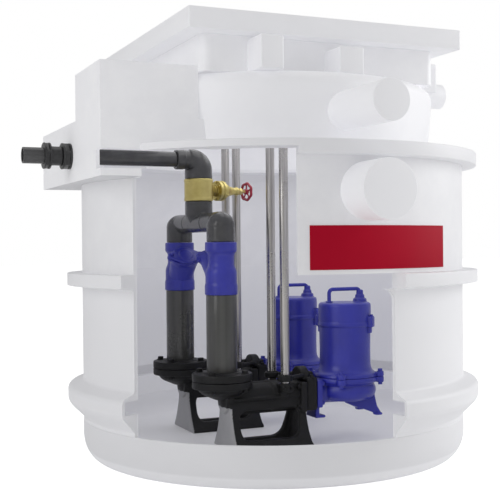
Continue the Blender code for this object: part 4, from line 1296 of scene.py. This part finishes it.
def makeVolute(number, y):
    # a scroll on a lathe-turned casing: both its radii are a start plus a growth that follows
    # 0.5 + 0.5 cos (a - widest)
    x, plate = line["pumpX"], line["coupling"] + line["clawDepth"] + gap
    a = np.linspace(0, 2 * math.pi, 96, endpoint=False)
    b = np.linspace(0, 2 * math.pi, 28, endpoint=False)
    growth = 0.5 + 0.5 * np.cos(a - math.radians(volute["widest"]))
    major, minor = (start + more * growth for start, more in (volute["ring"], volute["tube"]))
    out = np.stack([np.cos(a), np.sin(a), np.zeros_like(a)], 1)
    scroll = (np.array((x, 0, volute["z"]))
              + (major[:, None] + minor[:, None] * np.cos(b))[..., None] * out[:, None]
              + (minor[:, None] * np.sin(b))[..., None] * up)
    shells = [
        grid(scroll, True, True),
        solidTurned(volute["casing"], 0.005, 4, at=(x, 0, 0), sides=72),
        rodShell((x - 0.03, 0.0, 0.200), (plate + 0.01, 0, 0.200), 0.036, 0.034, sides=40),
        softBlock((plate, -0.050, 0.158), (plate + 0.018, 0.050, 0.2420), 0.004),
        softBlock((plate, -0.034, 0.126), (plate + 0.014, 0.034, 0.170), 0.004),
        softBlock((plate, -0.034, 0.1245), (plate + 0.034, 0.034, 0.1325), 0.003),
    ]
    shells += roundLugs(0.2265, 0.2438)
    fin, foot = rounded(volute["fin"], 0.004), roundBox(0.013, 0.013, 0.008)
    for turn in volute["finTurns"]:
        way, middle = spin(turn), np.array((x, 0, 0))
        axes = way, up, np.array((-way[1], way[0], 0))
        shells.append(slab(fin, -0.0065, 0.0065, at=middle, axes=axes, edge=0.002))
        shells.append(slab(foot, 0.1245, 0.1315, at=middle + way * 0.100, edge=0.0015))
    shells = [melt(shells, 0.0021, 3), *lugBolts(0.2270, -up, 0.013, 0.007)]
    for side in (-1, 1):
        for z in (0.172, 0.230):
            shells += bolt((plate + 0.0178, side * 0.040, z), (1, 0, 0), 0.012, 0.006)
    piece(f"pumpCasing{number}", shifted(shells, y), royalBlue, f"pump_{number}", [f"pump_volute_{number}"],
          "blue_paint", angle=60)


motor = {
    "outline": [
        (0, 0.4725), (0.060, 0.4725), (0.0810, 0.4720), (0.0815, 0.440), (0.0815, 0.4125), (0.0835, 0.4105),
        (0.0835, 0.4015), (0.0800, 0.3995), (0.0785, 0.330), (0.0790, 0.278), (0.0840, 0.262),
        (0.0970, 0.2545), (0.0990, pump["joint"]), (0, pump["joint"]),
    ],
    "soft": [1e-5, 0.002, 0.013, 0.010, 0.001, 0.001, 0.001, 0.001, 0.01, 0.010, 0.010, 0.004, 0.002, 1e-5],
    "turns": (130, 310),
    # half sizes, foot, top and distance out of the squared lugs that hold cap and body together
    "lugs": (((0.011, 0.012), 0.397, 0.430, 0.0840), ((0.007, 0.009), 0.378, 0.400, 0.0810)),
    # a skirt, a stepped cone and a cap round the handle's end
    "gland": [
        (0, 0.464), (0.0245, 0.464), (0.0215, 0.4765), (0.0205, 0.4820), (0.0150, 0.4850), (0.0145, 0.4930),
        (0.0112, 0.4955), (0.0108, 0.5075), (0.0075, 0.5100), (0, 0.5100),
    ],
}


def makeMotor(number, y):
    # a turned housing with squared lugs, round lugs and the cable gland, melted together
    x, middle = line["pumpX"], np.array((line["pumpX"], 0, 0))
    shells = [solidTurned(motor["outline"], motor["soft"], 5, at=(x, 0, 0), sides=80)]
    for turn in motor["turns"]:
        way = spin(turn)
        axes = way, np.array((-way[1], way[0], 0)), up
        for (wide, tall), low, high, out in motor["lugs"]:
            shells.append(slab(roundBox(wide, tall, 0.003), low, high, at=middle + way * out, axes=axes,
                               edge=0.003))
    shells += roundLugs(pump["joint"], 0.2580)
    shells.append(solidTurned(motor["gland"], 0.0013, 3, at=(x + pump["handleHalf"], 0, 0), sides=40))
    shells = [melt(shells, 0.0018, 2, 0.75)]
    for turn in motor["turns"]:
        shells += bolt(middle + 0.0880 * spin(turn) + up * 0.4295, up, 0.010, 0.005)
    shells += lugBolts(0.2578, up, 0.014, 0.008)
    piece(f"pumpMotor{number}", shifted(shells, y), royalBlue, f"pump_{number}", [f"pump_motor_{number}"],
          "blue_paint", angle=60)


handle = {
    "foot": 0.4730, "top": 0.5130, "bend": 0.013, "end": 0.4905,
    "shoe": [(0, 0.4727), (0.0115, 0.4727), (0.0110, 0.4762), (0.0070, 0.4775), (0, 0.4775)],
}


def makeHandle(number, y):
    # a bar carried along an arch, its right end down in the cable gland
    x, half = line["pumpX"], pump["handleHalf"]
    foot, top, bend = handle["foot"], handle["top"], handle["bend"]
    left = arc((x - half + bend, top - bend), (bend, bend), 180, 90, 10)
    right = arc((x + half - bend, top - bend), (bend, bend), 90, 0, 10)
    flat = np.concatenate([[(x - half, foot), (x - half, foot + 0.012)], left, right,
                           [(x + half, handle["end"])]])
    path = np.stack([flat[:, 0], np.full(len(flat), y), flat[:, 1]], 1)
    bar = carried(roundBox(0.0058, 0.0049, 0.0045, 4), path, (0, 1, 0))
    shoe = solidTurned(handle["shoe"], 0.001, 2, at=(x - half, y, 0), sides=28)
    piece(f"liftHandle{number}", [bar, shoe], royalBlue, f"pump_{number}", [f"pump_handle_{number}"],
          "blue_paint")


claw = {
    "half": 0.050, "hook": (0.034, 0.2445), "arch": 0.036, "archZ": 0.247, "eye": 0.0215,
    "eyeBore": 0.0165,
}


def makeClaw(number, y):
    # a block with an arched hook, and an eye on an arm for each rail, bored through
    face, back, railX = line["coupling"], line["coupling"] + line["clawDepth"], line["railX"]
    half, (width, foot), radius = claw["half"], claw["hook"], claw["arch"]
    bow = arc((0, claw["archZ"]), (radius, radius), 0, 180, 20)
    hook = np.concatenate([[(width, foot)], bow, [(-width, foot)]])
    shells = [
        softBlock((face, -half, 0.152), (back, half, 0.252), 0.006),
        plateX(hook, face - 0.013, face + 0.017, 0.005),
        softBlock((face + 0.004, -0.030, 0.236), (back - 0.004, 0.030, 0.268), 0.008),
    ]
    cutters = []
    for side in (-1, 1):
        across = side * line["railSpread"]
        low, high = (railX - 0.024, across - 0.006, 0.2475), (railX - 0.016, across + 0.006, 0.2630)
        shells += [
            rodShell((railX, across, 0.2455), (railX, across, 0.2650), claw["eye"], soft=0.003, sides=40),
            rodShell((railX + 0.019, across, 0.2545), (face, side * 0.026, 0.2565), 0.0078, sides=20),
            softBlock(low, high, 0.002),
        ]
        cutters.append(rodShell((railX, across, 0.2), (railX, across, 0.3), claw["eyeBore"], sides=40))
    shells = [carve([melt(shells, 0.0018, 3)], *cutters)]
    for side in (-1, 1):
        for z in (0.172, 0.232):
            shells += bolt((back - 0.0005, side * 0.0395, z), (1, 0, 0), 0.001, 0.0002, False)
        shells += bolt((face + 0.020, side * 0.042, 0.2515), (0, 0, 1), 0.011, 0.006)
    piece(f"pumpClaw{number}", shifted(shells, y), blackIron, f"pump_{number}", [f"pump_claw_{number}"],
          "black_casting", angle=60)


makeRails()
for number, y in sides:
    makeVolute(number, y)
    makeMotor(number, y)
    makeHandle(number, y)
    makeClaw(number, y)
print("pumps and rails made")


# floor, light and camera

studio = {
    "floor": 30.0, "backdrop": 1.0, "sky": 0.42, "floorGlow": 0.10, "floorSeen": 0.75,
    # name: place, aim, size, power
    "lamps": {
        "leftSoftbox": ((-4.2, -1.2, 2.2), (0, 0, 0.7), 2.6, 46.0),
        "rightSoftbox": ((4.4, -1.4, 2.4), (0, 0, 0.7), 2.8, 112.0),
        "frontSoftbox": ((-1.8, -4.6, 2.6), (0, 0, 0.6), 2.4, 5.0),
        "topSoftbox": ((0.3, 0.6, 4.6), (0, 0, 0.8), 2.4, 16.0),
        "chamberLamp": ((0.05, 0.0, 1.19), (0.05, 0.0, 0.0), 0.64, 1.5),
    },
}


def makeStudio():
    half = studio["floor"]
    corners = [(-half, -half, 0), (half, -half, 0), (half, half, 0), (-half, half, 0)]
    mesh = bpy.data.meshes.new("studioFloor")
    mesh.from_pydata(corners, [], [(0, 1, 2, 3)])
    finish = Finish("studio floor", Roughness=0.6, Emission_Color=(1.0, 1.0, 1.0, 1.0))
    grain = finish.use(grainEffect, Mottle_Scale=0.6, Grain_Scale=30.0)
    seen = node(finish.tree, "LightPath").outputs["Is Camera Ray"]
    extra = calc(finish.tree, "MULTIPLY", seen, studio["floorSeen"] - studio["floorGlow"])
    finish.feed("Emission Strength", calc(finish.tree, "ADD", extra, studio["floorGlow"]))
    finish.feed("Base Color", blended(finish.tree, grain["Mottle"], (0.84, 0.84, 0.845), (0.87, 0.87, 0.87)))
    mesh.materials.append(finish.material)
    floor = bpy.data.objects.new("studioFloor", mesh)
    bpy.context.scene.collection.objects.link(floor)
    # the camera sees a white backdrop, and the sky's light is a little softer than that
    world = bpy.data.worlds.new("studio")
    world.use_nodes = True
    tree = world.node_tree
    sky, seen = tree.nodes["Background"], node(tree, "LightPath").outputs["Is Camera Ray"]
    put(tree, spread(tree, seen, 0.0, 1.0, (studio["sky"], studio["backdrop"])), sky.inputs["Strength"])
    put(tree, (1.0, 1.0, 1.0), sky.inputs["Color"])
    bpy.context.scene.world = world
    bpy.context.scene.view_settings.view_transform = "Standard"
    for name, (place, aim, size, power) in studio["lamps"].items():
        lamp = bpy.data.lights.new(name, "AREA")
        lamp.size = size
        lamp.energy = power
        holder = bpy.data.objects.new(name, lamp)
        bpy.context.scene.collection.objects.link(holder)
        holder.location = place
        holder.rotation_euler = (Vector(aim) - Vector(place)).to_track_quat("-Z", "Y").to_euler()
        holder.visible_camera = False


view = {
    "lens": 72.65, "sensor": 36.0, "shift": -0.0445, "far": 100.0, "place": (-1.336, -2.952, 0.655),
    "ahead": (0.4123, 0.9110, -0.006), "roll": -0.009,
}


def makeCamera():
    data = bpy.data.cameras.new("view")
    data.lens = view["lens"]
    data.sensor_width = view["sensor"]
    data.shift_x = view["shift"]
    data.clip_end = view["far"]
    camera = bpy.data.objects.new("view", data)
    bpy.context.scene.collection.objects.link(camera)
    camera.location = view["place"]
    camera.rotation_mode = "QUATERNION"
    ahead = Vector(view["ahead"]).to_track_quat("-Z", "Y")
    camera.rotation_quaternion = ahead @ Quaternion((0, 0, 1), view["roll"])
    bpy.context.scene.camera = camera


makeStudio()
makeCamera()
print("studio ready")
